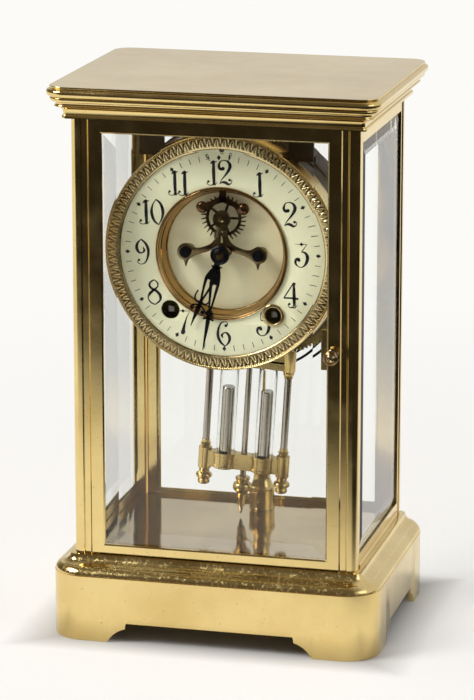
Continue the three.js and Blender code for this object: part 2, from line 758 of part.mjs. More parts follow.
function doorFrame() {
  const blank = box(spot(-doorEdge, doorFace, doorLow), spot(doorEdge, doorBack, doorHigh));
  const opening = box(
    spot(-openX, doorFace - overrun, openLow), spot(openX, doorBack + overrun, openHigh),
  );
  const rabbet = box(
    spot(-openX - doorRabbet, doorFace + doorLip, openLow - doorRabbet),
    spot(openX + doorRabbet, doorBack + overrun, openHigh + doorRabbet),
  );
  const rect = (grow, y) => [
    spot(-openX - grow, y, openLow - grow), spot(openX + grow, y, openLow - grow),
    spot(openX + grow, y, openHigh + grow), spot(-openX - grow, y, openHigh + grow),
  ];
  const chamfer = loft([rect(0, doorFace + doorInnerChamfer), rect(doorInnerChamfer, doorFace),
    rect(doorInnerChamfer, doorFace - overrun)]);
  const spindleHole = rod(knobStemRadius + runningGap, -doorThickness, doorThickness)
    .rotateX(quarterTurn).translate(knobX, doorFace + doorThickness / 2, latchHeight);
  const plateMiddle = latchHeight + latchPlateRise;
  const plateOuter = doorEdge - runningGap;
  const latchPlate = box(
    spot(plateOuter - latchPlateWidth, doorBack - runningGap / 2, plateMiddle - latchPlateHeight / 2),
    spot(plateOuter, doorBack + latchPlateThickness, plateMiddle + latchPlateHeight / 2),
  );
  const pins = [doorLow, doorHigh].map((end) => (
    rod(pivotRadius, end - pivotLength, end + pivotLength).translate(-pivotX, -pivotY, 0)
  ));
  const frame = cut(blank, opening, rabbet, chamfer);
  return cut(join(frame, latchPlate, ...pins), spindleHole);
}

// Knob: a ball with stepped rings outside, a stem through the stile and a finger inside
const knobShares = [
  [1, 0], [1, 0.1], [0.8, 0.14], [0.55, 0.2], [0.5, 0.34], [0.8, 0.42], [1, 0.6], [0.92, 0.8],
  [0.6, 0.95], [0, 1],
];
function latchKnob() {
  const fingerBack = doorThickness + latchPlateThickness + latchFingerGap;
  const head = knobShares.map(([out, up]) => [out * knobRadius, runningGap + up * knobReach]);
  const stemEnd = -fingerBack - latchFingerThickness;
  const stem = [[0, stemEnd], [knobStemRadius, stemEnd], [knobStemRadius, runningGap]];
  const knob = turned([...stem, ...head], smallSegments);
  const finger = box(
    spot(-latchFingerWidth / 2, -latchFingerLength, stemEnd),
    spot(latchFingerWidth / 2, latchFingerWidth / 2, -fingerBack),
  );
  return join(knob, finger).rotateX(quarterTurn).translate(knobX, doorFace, latchHeight);
}

const paneFace = doorFace + doorLip + runningGap;
['front', 'back'].forEach((end) => {
  const door = new THREE.Group();
  if (end === 'back') door.rotation.z = Math.PI;
  clock.add(door);
  place(door, `${end}_door_frame`, doorFrame(), brass);
  const bite = doorRabbet - runningGap;
  const pane = bevelledPane(
    openX + bite, openLow - bite, openHigh + bite, doorGlassCrown, paneFace, paneFace + doorGlassThickness,
  );
  place(door, `${end}_door_glass`, pane, glass);
  place(door, `${end}_latch_knob`, latchKnob(), brass);
});

// Movement: its own frame looks forward, X right, Y up, Z out of the dial from the enamel's face
const movement = new THREE.Group();
movement.position.set(0, -dialFaceDepth, dialHeight);
movement.rotation.x = quarterTurn;
clock.add(movement);

const discFront = -(recessDepth + runningGap);
const ringFront = -(recessDepth + runningGap + discThickness);
const ringBack = ringFront - ringThickness;
const frontPlateFront = ringBack - motionSpace;
const frontPlateBack = frontPlateFront - plateThickness;
const backPlateFront = frontPlateBack - plateGap;
const backPlateBack = backPlateFront - plateThickness;
const windingX = windingSpacing / 2;
const regulatorHole = rod(regulatorRadius + runningGap, ringBack - overrun, overrun)
  .translate(0, regulatorHeight, 0);
const regulatorPort = rod(2 * regulatorRadius + runningGap, -enamelThickness - overrun, bezelCrown + overrun)
  .translate(0, regulatorHeight, 0);

// Bezel: a flanged ring with a crowned band in front
const bandShares = [[0, 0.75], [0.14, 1], [0.5, 0.86], [0.9, 0.5], [1, 0.16]];
const bandWidth = bezelRadius - bezelInnerRadius;
const bezelProfile = [
  [bezelInnerRadius, runningGap],
  ...bandShares.map(([out, up]) => [bezelInnerRadius + out * bandWidth, up * bezelCrown]),
  [bezelRadius, ringFront + runningGap], [bezelRadius - bezelWall, ringFront + runningGap],
  [bezelRadius - bezelWall, -runningGap], [enamelRadius + runningGap, -runningGap],
  [enamelRadius + runningGap, runningGap], [bezelInnerRadius, runningGap],
];
place(movement, 'bezel', cut(turned(bezelProfile, roundSegments), regulatorPort), brass);

// Enamel ring with its winding holes and the regulator hole at twelve
const dialHoles = [circle(enamelInnerRadius, 0, 0, roundSegments)]
  .concat([1, -1].map((side) => circle(stopworkRadius, side * windingX, -windingDrop, mediumSegments)));
const enamelRing = prism(circle(enamelRadius, 0, 0, roundSegments), -enamelThickness, 0, dialHoles);
place(movement, 'enamel_dial', cut(enamelRing, regulatorHole), enamel);

// Gilt ring: a lip on the enamel and a wall that slopes in to the centre disc
const giltLip = enamelInnerRadius - runningGap;
const giltProfile = [
  [giltLip - giltWall, runningGap], [giltLip, runningGap + giltWall],
  [giltLip + giltFlange, runningGap + giltWall], [giltLip + giltFlange, runningGap],
  [giltLip, runningGap], [giltLip, -enamelThickness],
  [recessRadius + giltWall, -recessDepth], [recessRadius, -recessDepth],
  [giltLip - giltWall, runningGap],
];
const stemNotch = box(
  spot(-anchorStemWidth - runningGap, recessRadius - 2 * overrun, -recessDepth - overrun),
  spot(anchorStemWidth + runningGap, enamelInnerRadius + 2 * overrun, -anchorFront + 2 * runningGap),
);
place(movement, 'gilt_ring', cut(turned(giltProfile, roundSegments), stemNotch), movementBrass);

const discHoles = [
  circle(hourPipeRadius + 2 * runningGap),
  circle(arborRadius + runningGap, 0, escapeHeight),
];
place(movement, 'centre_disc', prism(
  circle(discRadius, 0, 0, roundSegments), discFront - discThickness, discFront, discHoles,
), enamel);

const grommetTube = stopworkRadius - runningGap;
const grommetBore = grommetTube - grommetWall;
const grommetFront = 2 * runningGap + grommetWall;
const grommetProfile = [
  [grommetBore, -enamelThickness], [grommetTube, -enamelThickness], [grommetTube, runningGap],
  [grommetRadius, runningGap], [grommetRadius - grommetWall, grommetFront], [grommetBore, grommetFront],
  [grommetBore, -enamelThickness],
];
place(movement, 'winding_grommet', turned(grommetProfile, mediumSegments)
  .translate(windingX, -windingDrop, 0), movementBrass);

// Mounting ring: a flange, a rim behind the enamel, posts to the front plate and two hangers
const rimFront = -enamelThickness - runningGap;
const rimProfile = [
  [ringInnerRadius, ringBack], [ringRadius, ringBack], [ringRadius, ringFront], [ringRimRadius, ringFront],
  [ringRimRadius, rimFront], [ringRimRadius - ringThickness, rimFront],
  [ringRimRadius - ringThickness, ringFront], [ringInnerRadius, ringFront], [ringInnerRadius, ringBack],
];
const hangerTop = postTop + corniceRecessHeight - runningGap - dialHeight;
const hangers = [1, -1].flatMap((side) => {
  const near = side * hangerInner;
  const far = side * (hangerInner + hangerWidth);
  const [left, right] = [Math.min(near, far), Math.max(near, far)];
  return [
    box(spot(left, ringInnerRadius, ringBack), spot(right, hangerTop, ringFront)),
    box(spot(left, hangerTop - ringThickness, ringBack - hangerFoot), spot(right, hangerTop, ringFront)),
  ];
});
const dialPosts = [[1, 1], [-1, 1], [1, -1], [-1, -1]].map(([sx, sy]) => (
  rod(dialPostRadius, frontPlateFront + runningGap, ringFront - runningGap)
    .translate(sx * dialPostSpread, sy * dialPostSpread, 0)
));
place(movement, 'movement_ring', cut(
  join(turned(rimProfile, roundSegments), ...hangers, ...dialPosts), regulatorHole,
), movementBrass);

// Plates with a hole for every arbor
const arborHole = arborRadius + runningGap;
const trainHoles = [
  circle(arborHole, secondArborX, secondArborY), circle(arborHole, thirdArborX, thirdArborY),
  circle(arborHole, -secondArborX, secondArborY), circle(arborHole, 0, escapeHeight),
  circle(arborHole, 0, palletHeight), circle(arborHole, hammerArborX, hammerArborY),
  circle(windingRadius + runningGap, windingX, -windingDrop),
  circle(windingRadius + runningGap, -windingX, -windingDrop),
  circle(centreArborRadius + runningGap),
];
const plateOutline = circle(plateRadius, 0, 0, roundSegments);
const motionStud = rod(arborRadius, frontPlateBack + overrun, ringFront - runningGap)
  .translate(motionArborX, motionArborY, 0);
place(movement, 'front_plate', join(
  prism(plateOutline, frontPlateBack, frontPlateFront, trainHoles), motionStud,
), movementBrass);

// Back plate with its pillars and the cock that carries the suspension
const pillars = [[pillarSpread, pillarSpread], [-pillarSpread, pillarSpread], [0, -pillarDrop]]
  .map(([x, y]) => (
    rod(pillarRadius, backPlateBack + overrun, frontPlateBack - runningGap).translate(x, y, 0)
  ));
const cockBack = backPlateBack - cockReach;
const pendulumZ = -(dialFaceDepth + pendulumPlane);
const cock = cut(
  box(
    spot(-cockHalfWidth, cockBottom, cockBack),
    spot(cockHalfWidth, cockBottom + cockHeight, backPlateBack + overrun),
  ),
  box(
    spot(-cockSlot, cockBottom - overrun, pendulumZ - springWidth / 2 - runningGap),
    spot(cockSlot, cockBottom + cockSlotHeight, pendulumZ + springWidth / 2 + runningGap),
  ),
);
place(movement, 'back_plate', join(
  prism(plateOutline, backPlateBack, backPlateFront, trainHoles), cock, ...pillars,
), movementBrass);

// Train levels, from the front plate back
const levelGap = 1.1;
const thirdLevel = frontPlateBack - levelGap;
const centreLevel = thirdLevel - wheelThickness - levelGap;
const secondLevel = centreLevel - wheelThickness - levelGap;
const greatLevel = secondLevel - wheelThickness - 2 * levelGap;
const arborBack = backPlateBack - runningGap;

function wheel(teeth, tip, level, shares, arms, hub) {
  const root = tip - toothHeight;
  const holes = crossings(arms, hub, root - toothHeight, toothHeight, 1);
  return prism(toothed(teeth, tip, toothHeight, shares), level - wheelThickness, level, holes);
}
function pinion(leaves, tip, low, high) {
  return prism(toothed(leaves, tip, toothHeight / 2, hiddenToothShares), low, high);
}

// Great wheels and their barrels
function barrel() {
  const gearBack = greatLevel - wheelThickness;
  const gear = prism(toothed(greatTeeth, greatRadius, toothHeight, gearToothShares), gearBack, greatLevel);
  const drum = rod(barrelRadius, gearBack - barrelHeight, greatLevel - wheelThickness / 2, mediumSegments);
  const bore = rod(windingRadius + runningGap, greatLevel - 2 * barrelHeight, greatLevel + overrun);
  return cut(join(gear, drum), bore);
}
place(movement, 'time_barrel', barrel(), movementBrass).position.set(windingX, -windingDrop, 0);
place(movement, 'strike_barrel', barrel(), movementBrass).position.set(-windingX, -windingDrop, 0);

// Winding arbors with square ends
function windingArbor() {
  const squareFront = -2 * runningGap - enamelThickness;
  const square = circle(windingRadius, 0, 0, 4).map((p) => p.rotateAround(flat(0, 0), quarterTurn / 2));
  return join(
    rod(windingRadius, arborBack, squareFront - windingSquareLength),
    prism(square, squareFront - windingSquareLength - overrun, squareFront),
  );
}
place(movement, 'time_winding_arbor', windingArbor(), steel).position.set(windingX, -windingDrop, 0);
place(movement, 'strike_winding_arbor', windingArbor(), steel).position.set(-windingX, -windingDrop, 0);

// Second wheel of each train, between the great wheel and the middle of the movement
const secondDistance = Math.hypot(secondArborX, secondArborY);
const secondRadius = secondDistance - pinionRadius - runningGap;
function secondWheel() {
  const reach = Math.hypot(windingX - secondArborX, windingDrop + secondArborY) - greatRadius - runningGap;
  return join(
    wheel(secondTeeth, secondRadius, secondLevel, hiddenToothShares, 4, pinionRadius),
    pinion(pinionLeaves, reach, greatLevel - 2 * wheelThickness, secondLevel - wheelThickness / 2),
    rod(arborRadius, arborBack, frontPlateFront),
  );
}
place(movement, 'second_wheel', secondWheel(), movementBrass).position.set(secondArborX, secondArborY, 0);
place(movement, 'strike_wheel', secondWheel(), movementBrass).position.set(-secondArborX, secondArborY, 0);

// Centre wheel on a pipe of its own round the centre arbor, driven at its pinion
const thirdDistance = Math.hypot(thirdArborX, thirdArborY);
const centreRadius = thirdDistance - smallPinionRadius - runningGap;
const centreBore = rod(centreArborRadius + runningGap, arborBack, 0);
place(movement, 'centre_wheel', cut(join(
  wheel(centreTeeth, centreRadius, centreLevel, hiddenToothShares, 4, pinionRadius),
  pinion(pinionLeaves, pinionRadius, secondLevel - 2 * wheelThickness, centreLevel - wheelThickness / 2),
), centreBore), movementBrass);

// Third wheel, which drives the escape pinion
const escapeDistance = Math.hypot(thirdArborX, thirdArborY - escapeHeight);
const thirdRadius = escapeDistance - smallPinionRadius - runningGap;
const thirdPinionBack = centreLevel - 2 * wheelThickness;
place(movement, 'third_wheel', join(
  wheel(thirdTeeth, thirdRadius, thirdLevel, hiddenToothShares, 4, pinionRadius),
  pinion(smallPinionLeaves, smallPinionRadius, thirdPinionBack, thirdLevel - wheelThickness / 2),
  rod(arborRadius, arborBack, frontPlateFront),
), movementBrass).position.set(thirdArborX, thirdArborY, 0);

// Escape wheel in front of the centre disc: slender raked teeth on a thin rim
const escapeFront = -escapePlane + wheelThickness;
const escapeRoot = escapeRadius - escapeToothLength;
const escapeRim = prism(
  toothed(escapeTeeth, escapeRadius, escapeToothLength, rakedToothShares), -escapePlane, escapeFront,
  crossings(5, escapeHubRadius, escapeRoot - escapeRimWidth, toothHeight, 2),
);
place(movement, 'escape_wheel', join(
  escapeRim,
  rod(arborRadius, arborBack, -bridgeThickness + 2 * runningGap),
  rod(escapeHubRadius, -escapePlane - runningGap, escapeFront + runningGap, smallSegments),
  pinion(smallPinionLeaves, smallPinionRadius, thirdLevel - 2 * wheelThickness, thirdLevel + runningGap),
), movementBrass).position.set(0, escapeHeight, 0);

// Escape bridge: boss, slotted neck and two arms with posts down to the disc
const bridgePoint = ([x, y]) => flat(x * bridgeReach, y * bridgeReach);
const bridgeNeckTop = flat(bridgeUpperShares[0][0] * bridgeReach, escapeHeight - bridgeNeckSink);
const bridgeRight = [bridgeNeckTop, ...[...bridgeUpperShares, ...bridgeLowerShares].map(bridgePoint)];
const bridgeLeft = bridgeRight.slice(0, -1).map((p) => flat(-p.x, p.y)).reverse();
const [slotLow, slotHigh] = bridgeSlotShares.map((share) => share * bridgeReach);
const halfSlot = bridgeSlotWidth / 2;
const bridgeSlot = [
  flat(-halfSlot, slotLow), flat(halfSlot, slotLow), flat(halfSlot, slotHigh), flat(-halfSlot, slotHigh),
];
const bridgeEnds = [1, -1].flatMap((side) => [
  rod(bridgeEndRadius, -bridgeThickness, 0, mediumSegments).translate(side * bridgeReach, 0, 0),
  rod(bridgeScrewRadius, discFront + runningGap, -bridgeThickness / 2).translate(side * bridgeReach, 0, 0),
]);
place(movement, 'escape_bridge', cut(
  join(
    prism(bridgeRight.concat(bridgeLeft), -bridgeThickness, 0, [bridgeSlot]),
    rod(bridgeBossRadius, -bridgeThickness, bridgeBossRise, mediumSegments).translate(0, escapeHeight, 0),
    ...bridgeEnds,
  ),
  rod(arborRadius + runningGap, -bridgeThickness - overrun, 0).translate(0, escapeHeight, 0),
), movementBrass);
[['left', -1], ['right', 1]].forEach(([side, sx]) => {
  const head = [
    [0, runningGap], [bridgeScrewRadius, runningGap], [bridgeScrewRadius, bridgeScrewRise],
    [bridgeScrewRadius - runningGap, bridgeScrewRise + runningGap], [0, bridgeScrewRise + runningGap],
  ];
  place(movement, `bridge_screw_${side}`, turned(head, mediumSegments), blackSteel)
    .position.set(sx * bridgeReach, 0, 0);
});

// Pallet anchor on its arbor, with the pins that the escape teeth meet, and the crutch behind
function bar(fromX, fromY, toX, toY, width, low, high) {
  const length = Math.hypot(toX - fromX, toY - fromY);
  const side = flat(toY - fromY, fromX - toX).multiplyScalar(width / 2 / length);
  return prism([
    flat(fromX + side.x, fromY + side.y), flat(fromX - side.x, fromY - side.y),
    flat(toX - side.x, toY - side.y), flat(toX + side.x, toY + side.y),
  ], low, high);
}
const anchorBack = -anchorFront - anchorThickness;
const anchorKnee = palletDrop - anchorKneeRise;
const palletSides = [1, -1].flatMap((side) => [
  bar(0, -anchorKnee, side * palletSpread, -palletDrop, anchorArmWidth, anchorBack, -anchorFront),
  rod(palletHeadRadius, anchorBack, -anchorFront + runningGap, mediumSegments)
    .translate(side * palletSpread, -palletDrop, 0),
  rod(palletPinRadius, escapeFront + runningGap, -anchorFront + 2 * runningGap)
    .translate(side * palletSpread, -palletDrop, 0),
]);
const crutchBack = -crutchPlane - anchorThickness;
const crutchArm = bar(0, anchorStemWidth / 2, 0, -crutchDrop, crutchWidth, crutchBack, -crutchPlane);
const forkSlot = leaderRadius + runningGap; // half the slot round the leader
const forkHalf = forkSlot + forkWall;
const crutchFork = cut(
  box(
    spot(-forkHalf, -crutchDrop - crutchWidth / 2, pendulumZ - forkHalf),
    spot(forkHalf, -crutchDrop + crutchWidth / 2, -crutchPlane - anchorThickness / 2),
  ),
  box(
    spot(-forkSlot, -crutchDrop - crutchWidth, pendulumZ - forkSlot),
    spot(forkSlot, -crutchDrop + crutchWidth, pendulumZ + forkSlot),
  ),
);
place(movement, 'pallet_anchor', join(
  bar(0, anchorStemWidth / 2, 0, -anchorKnee - anchorArmWidth / 2, anchorStemWidth, anchorBack, -anchorFront),
  rod(arborRadius, crutchBack, -anchorFront - runningGap),
  ...palletSides, crutchArm, crutchFork,
), movementBrass).position.set(0, palletHeight, 0);

// Regulator arbor
place(movement, 'regulator_arbor', rod(regulatorRadius, cockBack, -runningGap), steel)
  .position.set(0, regulatorHeight, 0);

// Centre arbor with its cannon pinion, the hour pipe and the motion work behind the disc
const hourWheelBack = ringFront - 2 * runningGap - wheelThickness;
const cannonBack = frontPlateFront + runningGap;
const motionDistance = Math.hypot(motionArborX, motionArborY);
place(movement, 'centre_arbor', join(
  rod(centreArborRadius, arborBack, arborNose, smallSegments),
  prism(
    toothed(cannonTeeth, cannonRadius, toothHeight / 2, hiddenToothShares), cannonBack,
    hourWheelBack - 2 * runningGap,
  ),
), steel);
const hourWheelRadius = motionDistance - minutePinionRadius - runningGap;
const hourWheelOutline = toothed(hourWheelTeeth, hourWheelRadius, toothHeight, hiddenToothShares);
place(movement, 'hour_pipe', cut(
  join(
    prism(hourWheelOutline, hourWheelBack, ringFront - 2 * runningGap),
    rod(hourPipeRadius, hourWheelBack, hourHandPlane + handThickness + runningGap, smallSegments * 2),
  ),
  rod(hourPipeBore, hourWheelBack - overrun, minuteHandPlane, smallSegments),
), movementBrass);
const minuteWheelRadius = motionDistance - cannonRadius - runningGap;
place(movement, 'motion_work_wheel', cut(
  join(
    prism(
      toothed(minuteWheelTeeth, minuteWheelRadius, toothHeight, hiddenToothShares), cannonBack + runningGap,
      hourWheelBack - 2 * runningGap,
    ),
    pinion(minutePinionTeeth, minutePinionRadius, cannonBack + runningGap, ringFront - 2 * runningGap),
  ),
  rod(arborRadius + runningGap, frontPlateFront, overrun),
), movementBrass).position.set(motionArborX, motionArborY, 0);

// Hands: pierced blades with turned hubs
const degrees = Math.PI / 180;
function hand(shares, slotShares, length, halfBreadth, hubRadius, bore, back, hubFront) {
  const blade = prism(
    bladeOutline(shares, length, halfBreadth), back, back + handThickness,
    [bladeOutline(slotShares, length, halfBreadth)],
  );
  const hub = [
    [bore, back - handHubBack], [hubRadius, back - handHubBack], [hubRadius, back + handThickness],
    [(hubRadius + bore) / 2, hubFront], [bore, hubFront], [bore, back - handHubBack],
  ];
  return join(blade, turned(hub, mediumSegments));
}
const minuteHand = hand(
  minuteHandShares, minuteSlotShares, minuteHandLength, minuteHandHalfWidth, handHubRadius,
  centreArborRadius + runningGap, minuteHandPlane, minuteHandPlane + handHubHeight,
);
place(movement, 'minute_hand', minuteHand, blackSteel).rotation.z = -minuteHandAngle * degrees;
const hourHand = hand(
  hourHandShares, hourSlotShares, hourHandLength, hourHandHalfWidth, hourHubRadius,
  hourPipeRadius + runningGap, hourHandPlane, hourHandPlane + handThickness + runningGap,
);
place(movement, 'hour_hand', hourHand, blackSteel).rotation.z = -hourHandAngle * degrees;

// Hammer: an arbor behind the back plate, an arm down and a head beside the gong
const gongFrame = -(dialFaceDepth + gongPlane);
const gongLeft = gongCentreX - gongRadius - gongWire / 2;
const hammerFaceX = gongLeft - hammerGap - hammerArborX;
const gongCentreY = gongCentreHeight - dialHeight;
const hammerHeadY = gongCentreY - hammerArborY;
const hammerHead = rod(hammerHeadRadius, -hammerHeadLength, 0).rotateY(quarterTurn)
  .translate(hammerFaceX, hammerHeadY, gongFrame);
const hammerArmX = hammerFaceX - hammerHeadLength / 2;
const [armBack, armFront] = [gongFrame - arborRadius, gongFrame + arborRadius];
place(movement, 'strike_hammer', join(
  rod(arborRadius, armBack, frontPlateFront),
  bar(0, 0, hammerArmX, hammerHeadY, 2 * arborRadius, armBack, armFront),
  hammerHead,
), steel).position.set(hammerArborX, hammerArborY, 0);

// Gong: one unbroken wire wound inward, with a last curl to the block
function gongPoint(turn) {
  const curlStart = gongTurns;
  const curlRadius = gongRadius - gongPitch * gongTurns;
  const endRadius = (gongBlock + gongWire) / 2 + runningGap;
  let radius = gongRadius - gongPitch * turn;
  if (turn > curlStart) {
    const share = (turn - curlStart) / gongCurl;
    const slope = gongPitch * gongCurl;
    const drop = curlRadius - endRadius;
    radius = curlRadius - slope * share - (drop - slope) * share * share;
  }
  const angle = Math.PI + turn * 2 * Math.PI;
  return spot(radius * Math.cos(angle), radius * Math.sin(angle), 0);
}
function gongCoil() {
  const total = gongTurns + gongCurl;
  const steps = Math.round(total * gongSteps);
  const centres = [];
  for (let i = 0; i <= steps; i += 1) centres.push(gongPoint((i / steps) * total));
  const loops = centres.map((centre, i) => {
    const before = centres[Math.max(i - 1, 0)];
    const after = centres[Math.min(i + 1, steps)];
    const along = spot().subVectors(after, before).normalize();
    const across = spot(along.y, -along.x, 0);
    const ring = [];
    for (let s = 0; s < gongSides; s += 1) {
      const angle = (s / gongSides) * 2 * Math.PI;
      const out = (gongWire / 2) * Math.cos(angle);
      ring.push(spot(centre.x + across.x * out, centre.y + across.y * out, (gongWire / 2) * Math.sin(angle)));
    }
    return ring;
  });
  let least = Infinity;
  centres.forEach((a, i) => {
    centres.slice(i + gongSteps / 2).forEach((b) => {
      least = Math.min(least, a.distanceTo(b));
    });
  });
  console.log(`gong: least gap between turns ${(least - gongWire).toFixed(2)} mm`);
  return loft(loops);
}
const gong = place(clock, 'gong_coil', gongCoil().rotateX(quarterTurn), blackSteel);
gong.position.set(gongCentreX, gongPlane, gongCentreHeight);

// Gong column: a turned drum and neck, a long rod and the block that holds the wire
const blockHalf = gongBlock / 2;
const columnProfile = [
  [0, floorTop],
  ...columnShares.map(([out, up]) => [out * columnDrumRadius, floorTop + up * columnHeight]),
  [columnRodRadius, floorTop + columnHeight], [columnRodRadius, gongCentreHeight - blockHalf / 2],
  [0, gongCentreHeight - blockHalf / 2],
];
const blockBack = columnPlane - gongPlane + columnRodRadius;
place(clock, 'gong_column', join(
  turned(columnProfile, mediumSegments).translate(0, columnPlane - gongPlane, 0),
  box(
    spot(-blockHalf, -gongWire, gongCentreHeight - blockHalf),
    spot(blockHalf, blockBack, gongCentreHeight + blockHalf),
  ),
), movementBrass).position.set(gongCentreX, gongPlane, 0);

// Suspension: a spring strip, the leader rod and the eye that the bob hangs on
const pivotHeight = dialHeight + palletHeight;
const springLow = pivotHeight + springAbovePivot - springLength;
const spring = box(
  spot(-springThickness / 2, -springWidth / 2, springLow),
  spot(springThickness / 2, springWidth / 2, pivotHeight + springAbovePivot),
);
const hookEye = rod(hookEyeRadius, -hookEyeThickness / 2, hookEyeThickness / 2, mediumSegments)
  .rotateX(quarterTurn).translate(0, 0, hookHeight);
const hookHole = rod(hookPinRadius + runningGap, -springWidth, springWidth)
  .rotateX(quarterTurn).translate(0, 0, hookHeight);
place(clock, 'suspension', cut(
  join(spring, rod(leaderRadius, hookHeight, springLow + springThickness), hookEye), hookHole,
), steel).position.set(0, pendulumPlane, 0);

// Bob
const bob = new THREE.Group();
bob.position.set(0, pendulumPlane, hookHeight);
bob.rotation.y = bobTilt * degrees;
clock.add(bob);

const upperTop = -upperBracketDrop + upperBracketHeight;
const lowerTop = -lowerBracketDrop;
const lowerBottom = lowerTop - lowerBracketHeight;
const cheekInner = hookEyeThickness / 2 + runningGap;
const halfBracket = bracketThickness / 2;
const cheeks = [1, -1].map((side) => {
  const [near, far] = [side * cheekInner, side * (cheekInner + cheekThickness)];
  return box(
    spot(-hookEyeRadius, Math.min(near, far), upperTop - overrun),
    spot(hookEyeRadius, Math.max(near, far), hookEyeRadius),
  );
});
const cheekOuter = cheekInner + cheekThickness;
const hookPin = rod(hookPinRadius, -cheekOuter, cheekOuter).rotateX(quarterTurn);
const upperBosses = [1, -1].map((side) => (
  rod(upperBossRadius, -upperBracketDrop, upperTop, mediumSegments).translate(side * bobRodSpread, 0, 0)
));
place(bob, 'pendulum_upper_bracket', join(
  box(spot(-bobRodSpread, -halfBracket, -upperBracketDrop), spot(bobRodSpread, halfBracket, upperTop)),
  ...upperBosses, ...cheeks, hookPin,
), movementBrass);

const finialProfile = [
  [0, lowerBottom + overrun], [finialShares[0][0] * finialRadius, lowerBottom + overrun],
  ...finialShares.map(([out, down]) => [out * finialRadius, lowerBottom - down * finialLength]),
];
const lowerEnds = [1, -1].flatMap((side) => [
  rod(lowerBossRadius, lowerBottom, lowerTop, smallSegments * 2).translate(side * bobRodSpread, 0, 0),
  rod(cupRadius, lowerBottom, lowerTop, mediumSegments).translate(side * vialSpread, 0, 0),
  turned(finialProfile, smallSegments).translate(side * bobRodSpread, 0, 0),
]);
const cupBores = [1, -1].map((side) => (
  rod(vialRadius + runningGap, lowerBottom + cupFloor, lowerTop + overrun, mediumSegments)
    .translate(side * vialSpread, 0, 0)
));
place(bob, 'pendulum_lower_bracket', cut(
  join(
    box(spot(-bobRodSpread, -halfBracket, lowerBottom), spot(bobRodSpread, halfBracket, lowerTop)),
    ...lowerEnds,
  ),
  ...cupBores,
  rod(centreRodRadius + runningGap, lowerBottom - overrun, lowerTop + overrun),
), movementBrass);

place(bob, 'centre_rod', turned([
  [0, -rodPointDrop], [centreRodRadius / 2, -rodPointDrop + centreRodRadius],
  [centreRodRadius, -rodPointDrop + rodTaper],
  [centreRodRadius, -upperBracketDrop - runningGap], [0, -upperBracketDrop - runningGap],
], smallSegments), steel);

[['left', -1], ['right', 1]].forEach(([side, sx]) => {
  const long = rod(outerRodRadius, lowerTop + runningGap, -upperBracketDrop - runningGap);
  place(bob, `outer_rod_${side}`, long, steel).position.set(sx * bobRodSpread, 0, 0);
  const vialLow = lowerBottom + cupFloor + runningGap;
  const vialHigh = -upperBracketDrop - runningGap;
  const bore = vialRadius - vialWall;
  const vial = [
    [0, vialLow], [vialRadius, vialLow], [vialRadius, vialHigh], [bore, vialHigh],
    [bore, vialLow + vialWall], [0, vialLow + vialWall],
  ];
  place(bob, `vial_${side}`, turned(vial, mediumSegments), glass).position.set(sx * vialSpread, 0, 0);
  const weightLow = vialLow + vialWall + runningGap;
  place(bob, `weight_${side}`, rod(weightRadius, weightLow, weightLow + weightLength, mediumSegments), steel)
    .position.set(sx * vialSpread, 0, 0);
});

const nutBore = centreRodRadius + runningGap;
const nutProfile = nutShares.map(([out, down]) => [out * nutRadius, -nutDrop - down * nutLength]);
place(bob, 'rating_nut', turned([
  [nutBore, -nutDrop], ...nutProfile, [nutBore, -nutDrop - nutLength], [nutBore, -nutDrop],
], mediumSegments), movementBrass);

export default clock;
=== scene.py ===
# %% [markdown]
# # A crystal regulator clock in polished brass and bevelled glass
#
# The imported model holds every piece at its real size. This script gives each surface its finish,
# swaps the coarse turned and moulded solids for finer ones in the same places, paints the dial and
# lights the clock as it stood when it was photographed: on white paper that ends about a third of
# a metre in front of it, with a dim room beyond. That is why the polished posts shade from brown
# at the top to pale gold at the foot.

# %% Load the frame
import json
import math

import bmesh
import bpy
import numpy as np
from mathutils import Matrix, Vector


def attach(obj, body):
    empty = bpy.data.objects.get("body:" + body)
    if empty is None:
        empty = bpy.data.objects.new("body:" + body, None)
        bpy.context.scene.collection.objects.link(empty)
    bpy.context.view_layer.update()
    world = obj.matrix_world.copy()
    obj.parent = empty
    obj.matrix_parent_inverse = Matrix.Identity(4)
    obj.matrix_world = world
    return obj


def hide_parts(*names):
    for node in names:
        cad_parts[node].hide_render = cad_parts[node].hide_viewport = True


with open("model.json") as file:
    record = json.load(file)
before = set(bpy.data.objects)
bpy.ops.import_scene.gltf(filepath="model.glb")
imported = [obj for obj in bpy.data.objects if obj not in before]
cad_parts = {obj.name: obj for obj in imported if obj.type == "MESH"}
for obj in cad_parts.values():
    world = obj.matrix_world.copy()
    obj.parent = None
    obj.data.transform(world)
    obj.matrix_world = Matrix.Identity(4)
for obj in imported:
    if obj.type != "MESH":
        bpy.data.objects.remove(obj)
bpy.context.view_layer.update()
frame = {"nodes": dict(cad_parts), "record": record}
mm = 0.001
nodes = frame["nodes"]
groups = frame["record"]["behaviour"]["bodies"]
body_of = {node: body for body, members in groups.items() for node in members}
print("nodes:", len(nodes), "bodies:", len(groups))

# %% [markdown]
# ## The camera
#
# The photograph was taken with a long lens from a little to the right and above. The angles and
# the distance come from fitting the straight edges of the case, so the render lines up with the
# photograph. A target point and two angles are easier to read than a rotation, and the camera is
# simply placed on the line that leaves the target at those angles.

